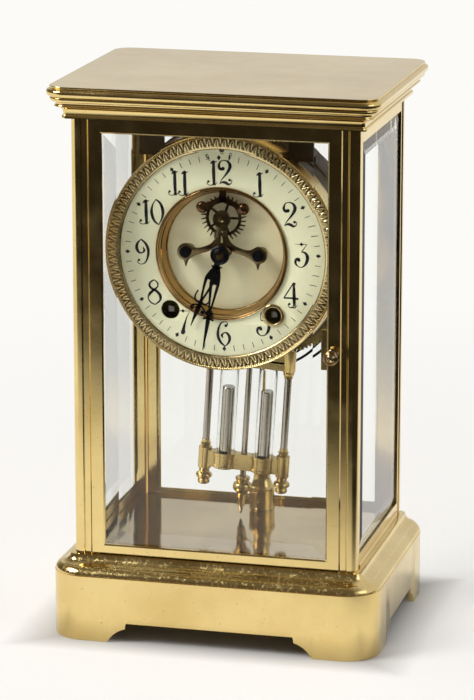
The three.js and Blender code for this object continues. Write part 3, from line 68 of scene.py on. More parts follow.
# %% Camera
azimuth = math.radians(14.2)
elevation = math.radians(13.94)
distance = 1640.8 * mm
target = Vector((-2.0, 0, 131.7)) * mm
toward = Vector((
    math.sin(azimuth) * math.cos(elevation),
    -math.cos(azimuth) * math.cos(elevation),
    math.sin(elevation),
))
camera_data = bpy.data.cameras.new("camera")
camera_data.sensor_fit = "HORIZONTAL"
camera_data.sensor_width = 36
camera_data.lens = 258.3
camera_data.clip_start = 0.05
camera = bpy.data.objects.new("camera", camera_data)
camera.location = target + toward * distance
camera.rotation_euler = toward.to_track_quat("Z", "Y").to_euler()
bpy.context.collection.objects.link(camera)
bpy.context.scene.camera = camera
bpy.context.scene.view_settings.view_transform = "Standard"
print("camera at", tuple(round(value, 3) for value in camera.location), "m")

# %% [markdown]
# ## Node helpers
#
# Every finish below is a small tree of shader nodes. These helpers keep the trees short: one makes
# a material with its Principled shader, one adds a node and links its inputs, and the others make
# the sums, ramps and patchy noise that most worn surfaces start from.

# %% Helpers for materials
def new_material(name, base, metallic=0.0, roughness=0.5):
    """A material with one Principled shader; returns the material, its tree and the shader."""
    material = bpy.data.materials.new(name)
    material.use_nodes = True
    tree = material.node_tree
    shader = tree.nodes["Principled BSDF"]
    shader.inputs["Base Color"].default_value = (*base, 1)
    shader.inputs["Metallic"].default_value = metallic
    shader.inputs["Roughness"].default_value = roughness
    return material, tree, shader


def add_node(tree, kind, links=None, **settings):
    """Adds a node, sets its properties, and gives each named input a value or a link."""
    node = tree.nodes.new(kind)
    for key, value in settings.items():
        setattr(node, key, value)
    for key, value in (links or {}).items():
        if isinstance(value, bpy.types.NodeSocket):
            tree.links.new(value, node.inputs[key])
        else:
            node.inputs[key].default_value = value
    return node


def object_noise(tree, scale, detail=4.0, stretch=(1, 1, 1)):
    """Noise on Object coordinates, stretched by a Mapping node, as a value from 0 to 1."""
    place = add_node(tree, "ShaderNodeTexCoord")
    mapped = add_node(tree, "ShaderNodeMapping", {
        "Vector": place.outputs["Object"], "Scale": stretch,
    })
    noise = add_node(tree, "ShaderNodeTexNoise", {
        "Vector": mapped.outputs["Vector"], "Scale": scale, "Detail": detail, "Roughness": 0.55,
    })
    return noise.outputs["Fac"]


def ramp(tree, value, stops):
    """A colour ramp through (position, colour) stops."""
    node = add_node(tree, "ShaderNodeValToRGB", {"Fac": value})
    elements = node.color_ramp.elements
    while len(elements) < len(stops):
        elements.new(0.5)
    for element, (position, colour) in zip(elements, stops):
        element.position = position
        element.color = (*colour, 1)
    return node.outputs["Color"]


def span(tree, value, low, high, out_low, out_high):
    """Maps low..high onto out_low..out_high in proportion, held at the ends."""
    node = add_node(tree, "ShaderNodeMapRange", {
        "Value": value, "From Min": low, "From Max": high, "To Min": out_low, "To Max": out_high,
    })
    return node.outputs["Result"]


def calculated(tree, operation, first, second=None):
    """A Math node's result: the operation on one or two numbers or outputs of other nodes."""
    inputs = {0: first} if second is None else {0: first, 1: second}
    return add_node(tree, "ShaderNodeMath", inputs, operation=operation).outputs[0]


def blended(tree, share, first, second):
    """Two colours mixed: first * (1 - share) + second * share."""
    inputs = {0: share, 6: first, 7: second}
    return add_node(tree, "ShaderNodeMix", inputs, data_type="RGBA").outputs[2]


def bumped(tree, shader, height, strength, depth):
    """Tilts the shader's normal as if the surface rose by height times depth, in metres."""
    inputs = {"Height": height, "Strength": strength, "Distance": depth}
    relief = add_node(tree, "ShaderNodeBump", inputs)
    tree.links.new(relief.outputs["Normal"], shader.inputs["Normal"])


print("node helpers ready")

# %% [markdown]
# ## Brass
#
# Old lacquered brass is a bright metal under a thin film of handling: broad patches where it has
# dulled, fine scratches that run level and upright, and a few dark pits. Base colour carries the
# patches and pits, roughness the dull spots, and a very shallow bump the scratches. All the yellow
# metal shares one function, with its own tone and wear for each piece.
#
# Two extras are there for single pieces. The embossed bezel's mesh carries its own relief as an
# attribute, and its low places get painted shade in the base colour. The base's shoulder is where
# a duster rubs, so small spots in that band of heights are duller than the polish around them.

# %% Brass finishes
# The dark colour serves both the real pits and the painted shade in the bezel's hollows.
pit_and_shade_colour, pit_share = (0.1, 0.06, 0.025, 1), 0.45
patch_scale, pit_scale, cloud_scale, scratch_scale, spot_scale = 28, 900, 60, 220, 620


def brass(name, pale, dark, roughness, grain=1.0, bump=0.1, hollow_shade=0.0, worn=None):
    """Metal whose colour runs between two tones in patches, with pits, scratches and painted shade
    in hollows.
    """
    material, tree, shader = new_material(name, pale, 1.0, roughness)
    tone = ramp(tree, object_noise(tree, patch_scale * grain, 5), [(0.3, dark), (0.62, pale)])
    pit = span(tree, object_noise(tree, pit_scale * grain, 2), 0.69, 0.76, 0, pit_share)
    colour = blended(tree, pit, tone, pit_and_shade_colour)
    # Painted shade: where the relief attribute is low, the base colour is darkened.
    if hollow_shade:
        relief = add_node(tree, "ShaderNodeAttribute", attribute_name="relief").outputs["Fac"]
        painted_hollow_shade = span(tree, relief, -0.24, 0.02, hollow_shade, 0)
        colour = blended(tree, painted_hollow_shade, colour, pit_and_shade_colour)
    tree.links.new(colour, shader.inputs["Base Color"])
    cloudy = object_noise(tree, cloud_scale * grain, 6)
    dull = span(tree, cloudy, 0.35, 0.7, roughness * 0.7, roughness * 1.5)
    if worn:
        low, high = worn
        place = add_node(tree, "ShaderNodeTexCoord").outputs["Object"]
        height = add_node(tree, "ShaderNodeSeparateXYZ", {"Vector": place}).outputs["Z"]
        above = span(tree, height, low, low + mm, 0, 1)
        below = span(tree, height, high, high + mm, 1, 0)
        spots = span(tree, object_noise(tree, spot_scale, 3), 0.5, 0.68, 0.02, 0.2)
        rubbed = calculated(tree, "MULTIPLY", calculated(tree, "MULTIPLY", above, below), spots)
        dull = calculated(tree, "ADD", dull, rubbed)
    tree.links.new(dull, shader.inputs["Roughness"])
    across = object_noise(tree, scratch_scale * grain, 3, (1, 1, 14))
    upright = object_noise(tree, scratch_scale * grain, 3, (14, 14, 1))
    bumped(tree, shader, calculated(tree, "ADD", across, upright), bump, 0.00006)
    return material


shoulder_band = (0.0315, 0.0398)
case_brass = brass("case_brass", (0.85, 0.66, 0.29), (0.73, 0.54, 0.21), 0.13)
base_brass = brass("base_brass", (0.85, 0.66, 0.29), (0.73, 0.54, 0.21), 0.13, worn=shoulder_band)
movement_brass = brass("movement_brass", (0.68, 0.52, 0.22), (0.48, 0.35, 0.13), 0.2, bump=0.15)
gilt = brass("gilt", (0.58, 0.38, 0.17), (0.38, 0.23, 0.09), 0.15)
# The bezel's hollows carry painted shade in its base colour.
bezel_brass = brass("bezel_brass", (0.92, 0.75, 0.4), (0.74, 0.57, 0.28), 0.26, hollow_shade=0.85)
aged_brass = brass("aged_brass", (0.16, 0.12, 0.07), (0.08, 0.055, 0.03), 0.34)
bridge_brass = brass("bridge_brass", (0.26, 0.19, 0.095), (0.16, 0.11, 0.05), 0.2, grain=2)
wheel_bronze = brass("wheel_bronze", (0.12, 0.08, 0.04), (0.07, 0.045, 0.022), 0.24, grain=2)
copper_brass = brass("copper_brass", (0.26, 0.14, 0.07), (0.15, 0.08, 0.04), 0.15, grain=2)
knob_brass = brass("knob_brass", (0.36, 0.27, 0.14), (0.2, 0.14, 0.07), 0.22, grain=2)
print("worn band from", shoulder_band[0] / mm, "to", shoulder_band[1] / mm, "mm")

# %% [markdown]
# ## Steel, black steel, enamel and glass
#
# The arbors and rods are polished steel, the hands and screws are blued until they look black.
# The dial is fired enamel: a pale, warm, glossy coat. The glass is clear with a faint green. The
# panes and vials bend light a little less than real glass, so that the bevels shift what is behind
# them by as much as they do in the photograph. Shadow rays pass straight through, because a
# renderer finds too few light paths through the panes to light the movement otherwise.

# %% Other finishes
def metal(name, colour, roughness):
    """Plain polished metal with fine grain in its roughness and bump."""
    material, tree, shader = new_material(name, colour, 1.0, roughness)
    grain = object_noise(tree, 300, 4)
    dull = span(tree, grain, 0.3, 0.7, roughness * 0.7, roughness * 1.4)
    tree.links.new(dull, shader.inputs["Roughness"])
    bumped(tree, shader, grain, 0.08, 0.00005)
    return material


def enamel_finish(name, dark, pale):
    """Fired enamel: a cream coat with slow changes of tone under a clear gloss; on the centre disc
    the tan tones are painted reflections and shade.
    """
    material, tree, shader = new_material(name, pale, 0.0, 0.12)
    tone = ramp(tree, object_noise(tree, 30, 4), [(0.3, dark), (0.7, pale)])
    tree.links.new(tone, shader.inputs["Base Color"])
    shader.inputs["Coat Weight"].default_value = 0.5
    shader.inputs["Coat Roughness"].default_value = 0.05
    bumped(tree, shader, object_noise(tree, 120, 2), 0.05, 0.00005)
    return material


def ink_finish():
    """Black fired figures: near black with a faint unevenness in their gloss."""
    material, tree, shader = new_material("figures_black", (0.012, 0.012, 0.014), 0.0, 0.3)
    uneven = span(tree, object_noise(tree, 500, 3), 0.3, 0.7, 0.22, 0.42)
    tree.links.new(uneven, shader.inputs["Roughness"])
    return material


def glass_finish(name, tint, bend):
    """Clear glass whose shadow rays pass through unbent."""
    material, tree, shader = new_material(name, tint, 0.0, 0.0)
    shader.inputs["Transmission Weight"].default_value = 1.0
    shader.inputs["IOR"].default_value = bend
    clear = add_node(tree, "ShaderNodeBsdfTransparent", {"Color": (*tint, 1)})
    path = add_node(tree, "ShaderNodeLightPath")
    mix = add_node(tree, "ShaderNodeMixShader", {
        0: path.outputs["Is Shadow Ray"], 1: shader.outputs[0], 2: clear.outputs[0],
    })
    tree.links.new(mix.outputs[0], tree.nodes["Material Output"].inputs["Surface"])
    return material


steel = metal("steel", (0.62, 0.61, 0.58), 0.2)
black_steel = metal("black_steel", (0.02, 0.02, 0.024), 0.32)
enamel = enamel_finish("enamel", (0.78, 0.765, 0.51), (0.85, 0.845, 0.6))
# The centre disc's tan patches are painted reflections and shade of the gilt ring, over cream
# enamel.
disc_enamel_painted_reflection = enamel_finish("disc_enamel_painted_reflection", (0.76, 0.67, 0.4), (0.84, 0.8, 0.54))
figures_black = ink_finish()
clear_glass = glass_finish("clear_glass", (0.99, 1.0, 0.993), 1.4)
vial_glass = glass_finish("vial_glass", (0.985, 0.995, 0.99), 1.12)
side_glass = glass_finish("side_glass", (0.99, 1.0, 0.993), 1.25)
weight_steel = metal("weight_steel", (0.46, 0.42, 0.36), 0.09)
finish_of_slot = {
    "case_brass": case_brass, "movement_brass": movement_brass, "steel": steel,
    "black_steel": black_steel, "enamel": enamel, "glass": clear_glass,
}
slot_of = {row["node"]: row["material_slot"] for row in frame["record"]["subparts"]}
for name, node in nodes.items():
    finish = side_glass if name.startswith("side_glass") else finish_of_slot[slot_of[name]]
    for material_slot in node.material_slots:
        material_slot.material = finish
print("finishes:", sorted(finish_of_slot))

# %% [markdown]
# ## From arrays to pieces
#
# Every new piece is a surface on a grid: rows of points worked out with numpy in millimetres, in
# the piece's own frame, and then carried into the clock's. Two frames are needed besides the plain
# one: the dial's, which looks out of the enamel's face, and the tilted one of the pendulum's bob.
# A piece that stands for a imported node rides on that node's body.

# %% Frames
dial_centre, bob_hook, bob_tilt = (0, -36.4, 187.2), (0, 20, 126), math.radians(3.5)
tilt_cos, tilt_sin = math.cos(bob_tilt), math.sin(bob_tilt)
plain = (np.zeros(3), np.eye(3))
dial_axes = np.array([[1, 0, 0], [0, 0, 1], [0, -1, 0]])
bob_axes = np.array([[tilt_cos, 0, -tilt_sin], [0, 1, 0], [tilt_sin, 0, tilt_cos]])
on_dial = (np.array(dial_centre), dial_axes)
on_bob = (np.array(bob_hook), bob_axes)
weld_gap, sliver = 2e-7, 1e-8


def moved(shape, x=0.0, y=0.0, z=0.0):
    """A (points, faces) pair carried by x, y and z millimetres."""
    points, faces = shape
    return points + np.array([x, y, z]), faces


def spun(shape, degrees):
    """A pair turned about its own Z: x' = x cos a - y sin a and y' = x sin a + y cos a."""
    points, faces = shape
    angle = math.radians(degrees)
    turn = np.array([
        [math.cos(angle), math.sin(angle), 0], [-math.sin(angle), math.cos(angle), 0], [0, 0, 1],
    ])
    return points @ turn, faces


print("dial's frame at", dial_centre, "and bob's frame at", bob_hook)

# %% [markdown]
# A grid's faces are the same few index sums each time. The builder joins all shapes of a piece,
# welds their seams, turns the faces outwards and marks every edge sharper than an angle, so that
# round faces are shaded smooth and corners stay crisp.

# %% Grids and pieces
def grid_faces(rows, columns, closed=False):
    """Quads over a grid of points, row by row; a closed grid joins its last column to its first."""
    wide = columns if closed else columns - 1
    row, column = np.meshgrid(np.arange(rows - 1), np.arange(wide), indexing="ij")
    after = (column + 1) % columns
    corners = [row * columns + column, row * columns + after]
    corners += [(row + 1) * columns + after, (row + 1) * columns + column]
    return np.stack(corners, -1).reshape(-1, 4).tolist()


def build(name, shapes, place, material, stands_for=(), body=None, slot=None, sharp=32, bevel=0.0):
    """Joins (points, faces) pairs into one piece, welds it, turns its faces out and rides it."""
    points, faces, count = [], [], 0
    for shape_points, shape_faces in shapes:
        points.append(shape_points)
        faces += [[corner + count for corner in face] for face in shape_faces]
        count += len(shape_points)
    origin, axes = place
    world = (origin + np.concatenate(points) @ axes) * mm
    mesh = bpy.data.meshes.new(name)
    mesh.from_pydata(world.tolist(), [], faces)
    shell = bmesh.new()
    shell.from_mesh(mesh)
    bmesh.ops.remove_doubles(shell, verts=shell.verts, dist=weld_gap)
    bmesh.ops.dissolve_degenerate(shell, edges=shell.edges, dist=sliver)
    bmesh.ops.recalc_face_normals(shell, faces=shell.faces)
    shell.to_mesh(mesh)
    shell.free()
    mesh.polygons.foreach_set("use_smooth", np.ones(len(mesh.polygons), bool))
    mesh.set_sharp_from_angle(angle=math.radians(sharp))
    mesh.materials.append(material)
    piece = bpy.data.objects.new(name, mesh)
    bpy.context.collection.objects.link(piece)
    if bevel:
        edge = piece.modifiers.new("edge", "BEVEL")
        edge.width = bevel * mm
        edge.segments = 2
        edge.limit_method = "ANGLE"
        edge.angle_limit = math.radians(35)
        edge.harden_normals = True
    stands_for = [stands_for] if isinstance(stands_for, str) else list(stands_for)
    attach(piece, body or body_of[stands_for[0]])
    if stands_for:
        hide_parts(*stands_for)
        slot = slot or slot_of[stands_for[0]]
    return piece


print("a grid of 3 by 4 points has", len(grid_faces(3, 4)), "faces")

# %% [markdown]
# Most shapes are grids of one of four kinds: a profile turned about an axis, an outline pushed
# along one, loops joined in order, or a circle carried along a path. A rough profile can be
# rounded first by cutting its corners.

# %% Turned, pushed and lofted shapes
def turned(profile, segments=72):
    """Turned about Z: a profile point (r, h) goes to (r cos a, r sin a, h) for each angle a."""
    profile = np.asarray(profile, float)
    angle = np.linspace(0, 2 * np.pi, segments, endpoint=False)
    ring = np.stack([np.cos(angle), np.sin(angle), np.zeros(segments)], -1)
    points = profile[:, :1, None] * ring[None] + profile[:, 1:, None] * np.array([0, 0, 1])
    return points.reshape(-1, 3), grid_faces(len(profile), segments, closed=True)


def prism(outline, low, high):
    """An outline in XY carried from low to high, with a cap at each end."""
    outline = np.asarray(outline, float)
    count = len(outline)
    ends = [np.column_stack([outline, np.full(count, level)]) for level in (low, high)]
    caps = [list(range(count))[::-1], list(range(count, 2 * count))]
    return np.concatenate(ends), grid_faces(2, count, closed=True) + caps


def loft(rows):
    """Closed loops of as many points each, joined in order and capped at both ends."""
    rows = np.asarray(rows, float)
    count = rows.shape[1]
    last = (len(rows) - 1) * count
    caps = [list(range(count))[::-1], list(range(last, last + count))]
    return rows.reshape(-1, 3), grid_faces(len(rows), count, closed=True) + caps


def smooth(points, passes=2):
    """Corner cutting: each pass puts points at a quarter and three quarters of each edge."""
    points = np.asarray(points, float)
    for _ in range(passes):
        before, after = points[:-1], points[1:]
        inner = np.stack([0.75 * before + 0.25 * after, 0.25 * before + 0.75 * after], 1)
        points = np.concatenate([points[:1], inner.reshape(-1, points.shape[1]), points[-1:]])
    return points


def pipe(path, radius, sides=12):
    """A round tube on a path in the XY plane: the circle spans the path's normal and Z."""
    path = np.asarray(path, float)
    along = np.gradient(path, axis=0)
    along /= np.linalg.norm(along, axis=1, keepdims=True)
    upright = np.array([0.0, 0.0, 1.0])
    across = np.cross(along, upright)
    angle = np.linspace(0, 2 * np.pi, sides, endpoint=False)
    rings = (
        path[:, None] + radius * np.cos(angle)[None, :, None] * across[:, None]
        + radius * np.sin(angle)[None, :, None] * upright
    )
    return loft(rings)


print("a turned disc has", len(turned([(0, 0), (1, 0)])[0]), "points")

# %% [markdown]
# Plates with holes are harder to write as a grid. A flat curve fills any set of outlines, and its
# own bevel gives the plate a fine edge; the curve's offset takes the bevel back inside the outline.

# %% Flat plates
def flat_shape(outlines, low, high, edge=0.0):
    """Outlines in XY with holes, filled by a flat curve, thickened, and given back as a pair."""
    curve = bpy.data.curves.new("outline", "CURVE")
    curve.dimensions = "2D"
    curve.fill_mode = "BOTH"
    curve.extrude = max((high - low) / 2 - edge, 0)
    curve.bevel_depth = edge
    curve.bevel_resolution = 1
    curve.offset = -edge
    for outline in outlines:
        line = curve.splines.new("POLY")
        line.points.add(len(outline) - 1)
        flat = np.column_stack([outline, np.zeros(len(outline)), np.ones(len(outline))])
        line.points.foreach_set("co", flat.astype(np.float32).ravel())
        line.use_cyclic_u = True
    stand = bpy.data.objects.new("outline", curve)
    bpy.context.collection.objects.link(stand)
    bpy.context.view_layer.update()
    finished = stand.evaluated_get(bpy.context.evaluated_depsgraph_get())
    mesh = bpy.data.meshes.new_from_object(finished)
    points = np.zeros(len(mesh.vertices) * 3, np.float32)
    mesh.vertices.foreach_get("co", points)
    faces = [list(face.vertices) for face in mesh.polygons]
    bpy.data.objects.remove(stand)
    bpy.data.curves.remove(curve)
    return points.reshape(-1, 3).astype(float) + np.array([0, 0, (low + high) / 2]), faces


def ring_of(radius, x=0.0, y=0.0, count=48):
    """A circle as a closed outline."""
    angle = np.linspace(0, 2 * np.pi, count, endpoint=False)
    return np.column_stack([x + radius * np.cos(angle), y + radius * np.sin(angle)])


print("a ring outline has", len(ring_of(1)), "points")

# %% [markdown]
# ## Case mouldings
#
# The base and the cornice are castings with a moulded edge that runs round a rectangle with round
# corners. One function gives the rectangle at any stand-out and corner radius, so a moulding is a
# list of (stand-out, height) pairs. The base's lower edge follows the arches between its feet:
# the height of the lowest row is a function of the place along the side.

# %% Loops and arches
half_width, half_depth = 69.0, 52.0
base_height, post_top = 40.5, 251.4
corner_steps = 14


def case_loop(reach, radius, z, along=None):
    """A rectangle with round corners; along gives fixed points on the front and on the side."""
    radius = max(radius, 0.01)
    cx, cy = half_width + reach - radius, half_depth + reach - radius
    rows = []
    for turn in range(4):
        angle = (turn + np.linspace(0, 1, corner_steps)) * np.pi / 2
        sx, sy = (1, -1, -1, 1)[turn], (1, 1, -1, -1)[turn]
        rows.append(np.column_stack([
            sx * cx + radius * np.cos(angle), sy * cy + radius * np.sin(angle),
        ]))
        if along is not None:
            places = along[turn % 2]
            if turn % 2 == 0:
                edge = np.full(len(places), sy * (half_depth + reach))
                rows.append(np.column_stack([-sy * places, edge]))
            else:
                edge = np.full(len(places), sx * (half_width + reach))
                rows.append(np.column_stack([edge, sx * places]))
    flat = np.concatenate(rows)
    return np.column_stack([flat, np.broadcast_to(z, len(flat))])


arch_height, arch_riser, arch_run, arch_step = 9.8, 2.8, 8.9, 0.5
run_pull, rise_pull = 0.38, 0.8
front_arch, side_arch = 50.2, 34.0


def arch_samples(half_gap):
    """Places along a side, from one end of the arch to the other, and the edge's height there.

    The foot's inner side is a quadratic curve: 2 t (1 - t) k + t * t, with its own pull k for
    the run and for the rise.
    """
    share = np.linspace(0, 1, 10)
    run = 2 * share * (1 - share) * run_pull + share ** 2
    rise = 2 * share * (1 - share) * rise_pull + share ** 2
    top_of_step = half_gap - arch_run - arch_step
    foot_side = half_gap - run * arch_run
    x = np.concatenate([[half_gap + 0.6], foot_side, [top_of_step, top_of_step - 0.8]])
    z = np.concatenate([[0], rise * (arch_height - arch_riser), [arch_height, arch_height]])
    middle = np.linspace(-x[-1], x[-1], 14)[1:-1]
    places = np.concatenate([-x, middle, x[::-1]])
    heights = np.concatenate([z, np.full(12, arch_height), z[::-1]])
    return places, heights


print("loop points:", len(case_loop(0, 1, 0)), "arch samples:", len(arch_samples(front_arch)[0]))

# %% [markdown]
# The base is one loft, from the hollow inside down to the feet, round their edge and up the
# moulded shoulder. The shoulder is a list of (share of the reach, share of the rise) pairs.

# %% Base
front_places, front_heights = arch_samples(front_arch)
side_places, side_heights = arch_samples(side_arch)
flat_corner = np.zeros(corner_steps)
lower_edge = np.concatenate([flat_corner, front_heights, flat_corner, side_heights] * 2)
base_along = (front_places, side_places)
base_reach, base_wall, wall_radius = 10.9, 3.0, 16.5
shoulder = [
    (0.18, 1.0), (0.215, 0.99), (0.235, 0.93), (0.26, 0.85), (0.3, 0.753), (0.355, 0.675),
    (0.422, 0.612), (0.52, 0.555), (0.62, 0.51), (0.655, 0.5), (0.665, 0.465), (0.7, 0.455),
    (0.78, 0.41), (0.86, 0.33), (0.93, 0.23), (0.975, 0.13), (0.985, 0.045), (0.96, 0.03),
    (0.965, 0.0), (1.0, -0.015), (1.0, -0.05),
]
hollow_top, hollow_low, ledge_radius, ledge_out = 36, 29, 3, 0.18
shoulder_foot, shoulder_rise = 32, 8.5
inner_reach, inner_radius = base_reach - base_wall, wall_radius - base_wall
base_rows = [
    case_loop(-0.5, ledge_radius, hollow_top, base_along),
    case_loop(inner_reach, inner_radius, hollow_low, base_along),
]
foot_edge = [
    (base_wall, 0.5), (base_wall - 0.15, 0.15), (base_wall - 0.5, 0), (0.5, 0), (0.15, 0.15),
    (0, 0.5),
]
for inset, lift in foot_edge:
    reach, radius = base_reach - inset, wall_radius - inset
    base_rows.append(case_loop(reach, radius, lower_edge + lift, base_along))
for out, up in reversed(shoulder):
    radius = ledge_radius + (out - ledge_out) * (wall_radius - ledge_radius) / 0.82
    height = shoulder_foot + up * shoulder_rise
    base_rows.append(case_loop(out * base_reach, radius, height, base_along))
build("base_moulding", [loft(base_rows)], plain, base_brass, "base", sharp=40)
print("rows of the base:", len(base_rows))

# %% [markdown]
# The cornice is the same kind of loft. It starts at its ceiling, which is set in from the posts,
# and then follows the moulding outwards and up.

# %% Cornice
cornice_reach, cornice_height = 10.6, 15.6
cornice_profile = smooth([
    (0.32, 0), (0.32, 0.083), (0.245, 0.096), (0.25, 0.15), (0.265, 0.215), (0.3, 0.265),
    (0.36, 0.31), (0.45, 0.342), (0.547, 0.359), (0.65, 0.365), (0.65, 0.415), (0.585, 0.423),
    (0.585, 0.5), (0.65, 0.508), (0.74, 0.52), (0.82, 0.555), (0.85, 0.6), (0.84, 0.65),
    (0.811, 0.667), (0.83, 0.674), (0.9, 0.685), (0.962, 0.72), (0.995, 0.765), (1.0, 0.81),
    (0.985, 0.86), (0.93, 0.905), (0.84, 0.923), (0.82, 0.932), (0.845, 0.94), (0.854, 0.955),
    (0.852, 0.99), (0.84, 1.0),
], 1)
cornice_rows = []
ceiling_height, ceiling_inset, ceiling_half = 12.1, 5, 60.3
for height in (post_top + ceiling_height, post_top):
    row = case_loop(-ceiling_inset, 0.01, height)
    row[:, 0] *= ceiling_half / (half_width - ceiling_inset)
    cornice_rows.append(row)
for out, up in cornice_profile:
    reach = out * cornice_reach
    cornice_rows.append(case_loop(reach, reach - 1, post_top + up * cornice_height))
build("cornice_moulding", [loft(cornice_rows)], plain, case_brass, "cornice", sharp=40)
print("rows of the cornice:", len(cornice_rows))

# %% [markdown]
# ## Corner posts, rails, door frames and floor
#
# The posts are drawn bars: a rounded band with a narrow groove beside it and a flat strip. The
# other flat pieces have the right shape already and only lack the soft edge that filing and
# polishing leave, so a copy of each is welded and given a small bevel, which catches the light as
# a thin bright line.

# %% Posts and flat brass
def post_outline():
    """u runs in from the side face and v from the front face: a quarter circle, then corners."""
    angle = np.pi + np.linspace(0, np.pi / 2, 12)
    corner = 2.7 + 2.7 * np.column_stack([np.cos(angle), np.sin(angle)])
    rest = [
        (4.7, 0), (4.9, 0.2), (4.9, 0.9), (5.4, 0.9), (5.4, 0.5), (5.5, 0.4), (8.1, 0.4),
        (8.2, 0.5), (8.2, 8.2), (4.0, 8.2), (4.0, 6.7), (1.5, 6.7), (1.5, 8.2), (0.5, 8.2),
        (0.4, 8.1), (0.4, 5.5), (0.5, 5.4), (0.9, 5.4), (0.9, 4.9), (0.2, 4.9), (0, 4.7),
    ]
    return np.concatenate([corner, rest])


for side, sx in (("left", -1), ("right", 1)):
    for end, sy in (("front", -1), ("back", 1)):
        u, v = post_outline().T
        flat = np.column_stack([sx * (half_width - u), sy * (half_depth - v)])
        bar_shape = prism(flat, base_height, post_top)
        name = f"post_{end}_{side}"
        build(f"{name}_drawn", [bar_shape], plain, case_brass, name, sharp=20)


def softened(node, width, finish=None):
    """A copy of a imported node, welded, with its flat faces joined and its edges bevelled."""
    shell = bmesh.new()
    shell.from_mesh(nodes[node].data)
    bmesh.ops.remove_doubles(shell, verts=shell.verts, dist=1e-6)
    bmesh.ops.dissolve_limit(shell, angle_limit=0.01, verts=shell.verts, edges=shell.edges)
    shell.verts.index_update()
    points = np.array([tuple(v.co) for v in shell.verts]) / mm
    faces = [[v.index for v in face.verts] for face in shell.faces]
    shell.free()
    finish = finish or finish_of_slot[slot_of[node]]
    return build(f"{node}_soft", [(points, faces)], plain, finish, node, sharp=30, bevel=width)


for side in ("left", "right"):
    for end in ("top", "bottom"):
        softened(f"side_rail_{side}_{end}", 0.15)
for end in ("front", "back"):
    softened(f"{end}_door_frame", 0.2)
floor_brass = brass("floor_brass", (0.64, 0.5, 0.27), (0.46, 0.35, 0.18), 0.085, grain=0.7)
softened("floor_plate", 0.15, floor_brass)
print("flat brass softened")

# %% [markdown]
# ## The dial's rings
#
# The bezel is one stamped ring: a plain slope down to the enamel, a band of upright leaves, and
# fine outer rims, one of them beaded. The leaves are a height added to a turned surface, worked
# out for the whole grid at once: each leaf narrows towards its tip, has a vein pressed in its
# middle, and leaves room for a small dart between it and the next. How far each point stands above
# or below the plain surface is kept on the mesh, for the painted shade in the hollows.

# %% Bezel
leaf_count, leaf_steps, beads_per_leaf = 88, 16, 4
band_low, band_high, bead_radius = 50.6, 54.3, 54.8
leaf_rise, dart_rise, leaf_sink, bead_rise = 0.45, 0.4, 0.28, 0.12
vein_depth, vein_width, vein_end, dart_depth, dart_start = 0.7, 0.085, 0.72, 0.8, 0.3
profile_r = np.concatenate([
    [49.0, 49.0, 49.15, 49.6], np.linspace(50.3, band_high + 0.1, 20),
    [54.5, 54.6, 54.8, 55.0, 55.1, 55.2, 55.35, 55.6, 55.85, 56.0],
])
bead_row = np.abs(profile_r - bead_radius) < 0.25
profile_z = np.concatenate([
    [0.3, 0.75, 0.95, 1.2], 1.45 + 0.1 * np.sin(np.linspace(0, np.pi, 20)),
    [1.2, 1.05, 1.2, 1.35, 1.2, 0.95, 1.15, 1.25, 1.05, 0.6],
])
around = np.arange(leaf_count * leaf_steps) / leaf_steps
place_in_leaf = (around % 1.0) - 0.5
up = np.clip((profile_r - band_low) / (band_high - band_low), 0, 1)[:, None]
inside = ((profile_r > band_low - 0.01) & (profile_r < band_high + 0.01))[:, None]
half_leaf = 0.47 * np.clip(1 - up ** 1.3, 0, 1) + 1e-6
across_leaf = np.abs(place_in_leaf)[None] / half_leaf
leaf = np.clip(1 - across_leaf, 0, 1) ** 0.35
vein = vein_depth * np.exp(-((place_in_leaf[None] / vein_width) ** 2)) * (up < vein_end)
off_gap = (0.5 - np.abs(place_in_leaf))[None]
dart = dart_depth * np.clip(1 - off_gap / (0.04 + 0.22 * up), 0, 1) * (up > dart_start)
beads = bead_rise * bead_row[:, None] * np.cos(2 * np.pi * beads_per_leaf * around)[None]
height = inside * (leaf_rise * (leaf - vein) + dart_rise * dart - leaf_sink) + beads
angle = 2 * np.pi * around / leaf_count
circle = np.stack([np.cos(angle), np.sin(angle), np.zeros_like(angle)], -1)
front = profile_r[:, None, None] * circle
front[..., 2] = profile_z[:, None] + height
back_profile = np.array([(56, -8.1), (54.8, -8.1), (54.8, -0.3), (50.6, -0.3), (50.6, 0.3)])
back = back_profile[:, :1, None] * circle
back = back + back_profile[:, 1:, None] * np.array([0, 0, 1])
rows = np.concatenate([front, back, front[:1]])
bezel_shape = rows.reshape(-1, 3), grid_faces(len(rows), len(angle), closed=True)
bezel = build("bezel_embossed", [bezel_shape], on_dial, bezel_brass, "bezel", sharp=50)
points = np.empty(len(bezel.data.vertices) * 3)
bezel.data.vertices.foreach_get("co", points)
local = (points.reshape(-1, 3) / mm - on_dial[0]) @ dial_axes.T
smooth_level = np.interp(np.hypot(local[:, 0], local[:, 1]), profile_r[3:], profile_z[3:])
bezel_relief = np.where(local[:, 2] > 0.4, local[:, 2] - smooth_level, 0)
bezel.data.attributes.new("relief", "FLOAT", "POINT").data.foreach_set("value", bezel_relief)
print("bezel faces:", len(bezel.data.polygons))
print("relief from", round(bezel_relief.min(), 2), "to", round(bezel_relief.max(), 2), "mm")

# %% [markdown]
# The enamel ring, the gilt ring of the recess and the enamel centre are plain turned or flat pieces
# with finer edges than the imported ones. Two winding holes lie left and right below the centre, and
# the right one kept its brass grommet. The small hole at the top is for the regulator's square.

# %% Enamel, gilt ring, centre disc and grommet
winding_x, winding_y, winding_hole = 25, -28.2, 4.5
regulator_y, regulator_hole, escape_y = 48.6, 1.3, 16.4
regulator_ring = ring_of(regulator_hole, 0, regulator_y, 24)
dial_outline = [ring_of(50.3, count=144), ring_of(31.5, count=120)]
dial_outline += [ring_of(winding_hole, side * winding_x, winding_y) for side in (1, -1)]
dial_shape = flat_shape(dial_outline + [regulator_ring], -1.2, 0, 0.12)
build("enamel_ring", [dial_shape], on_dial, enamel, "enamel_dial")

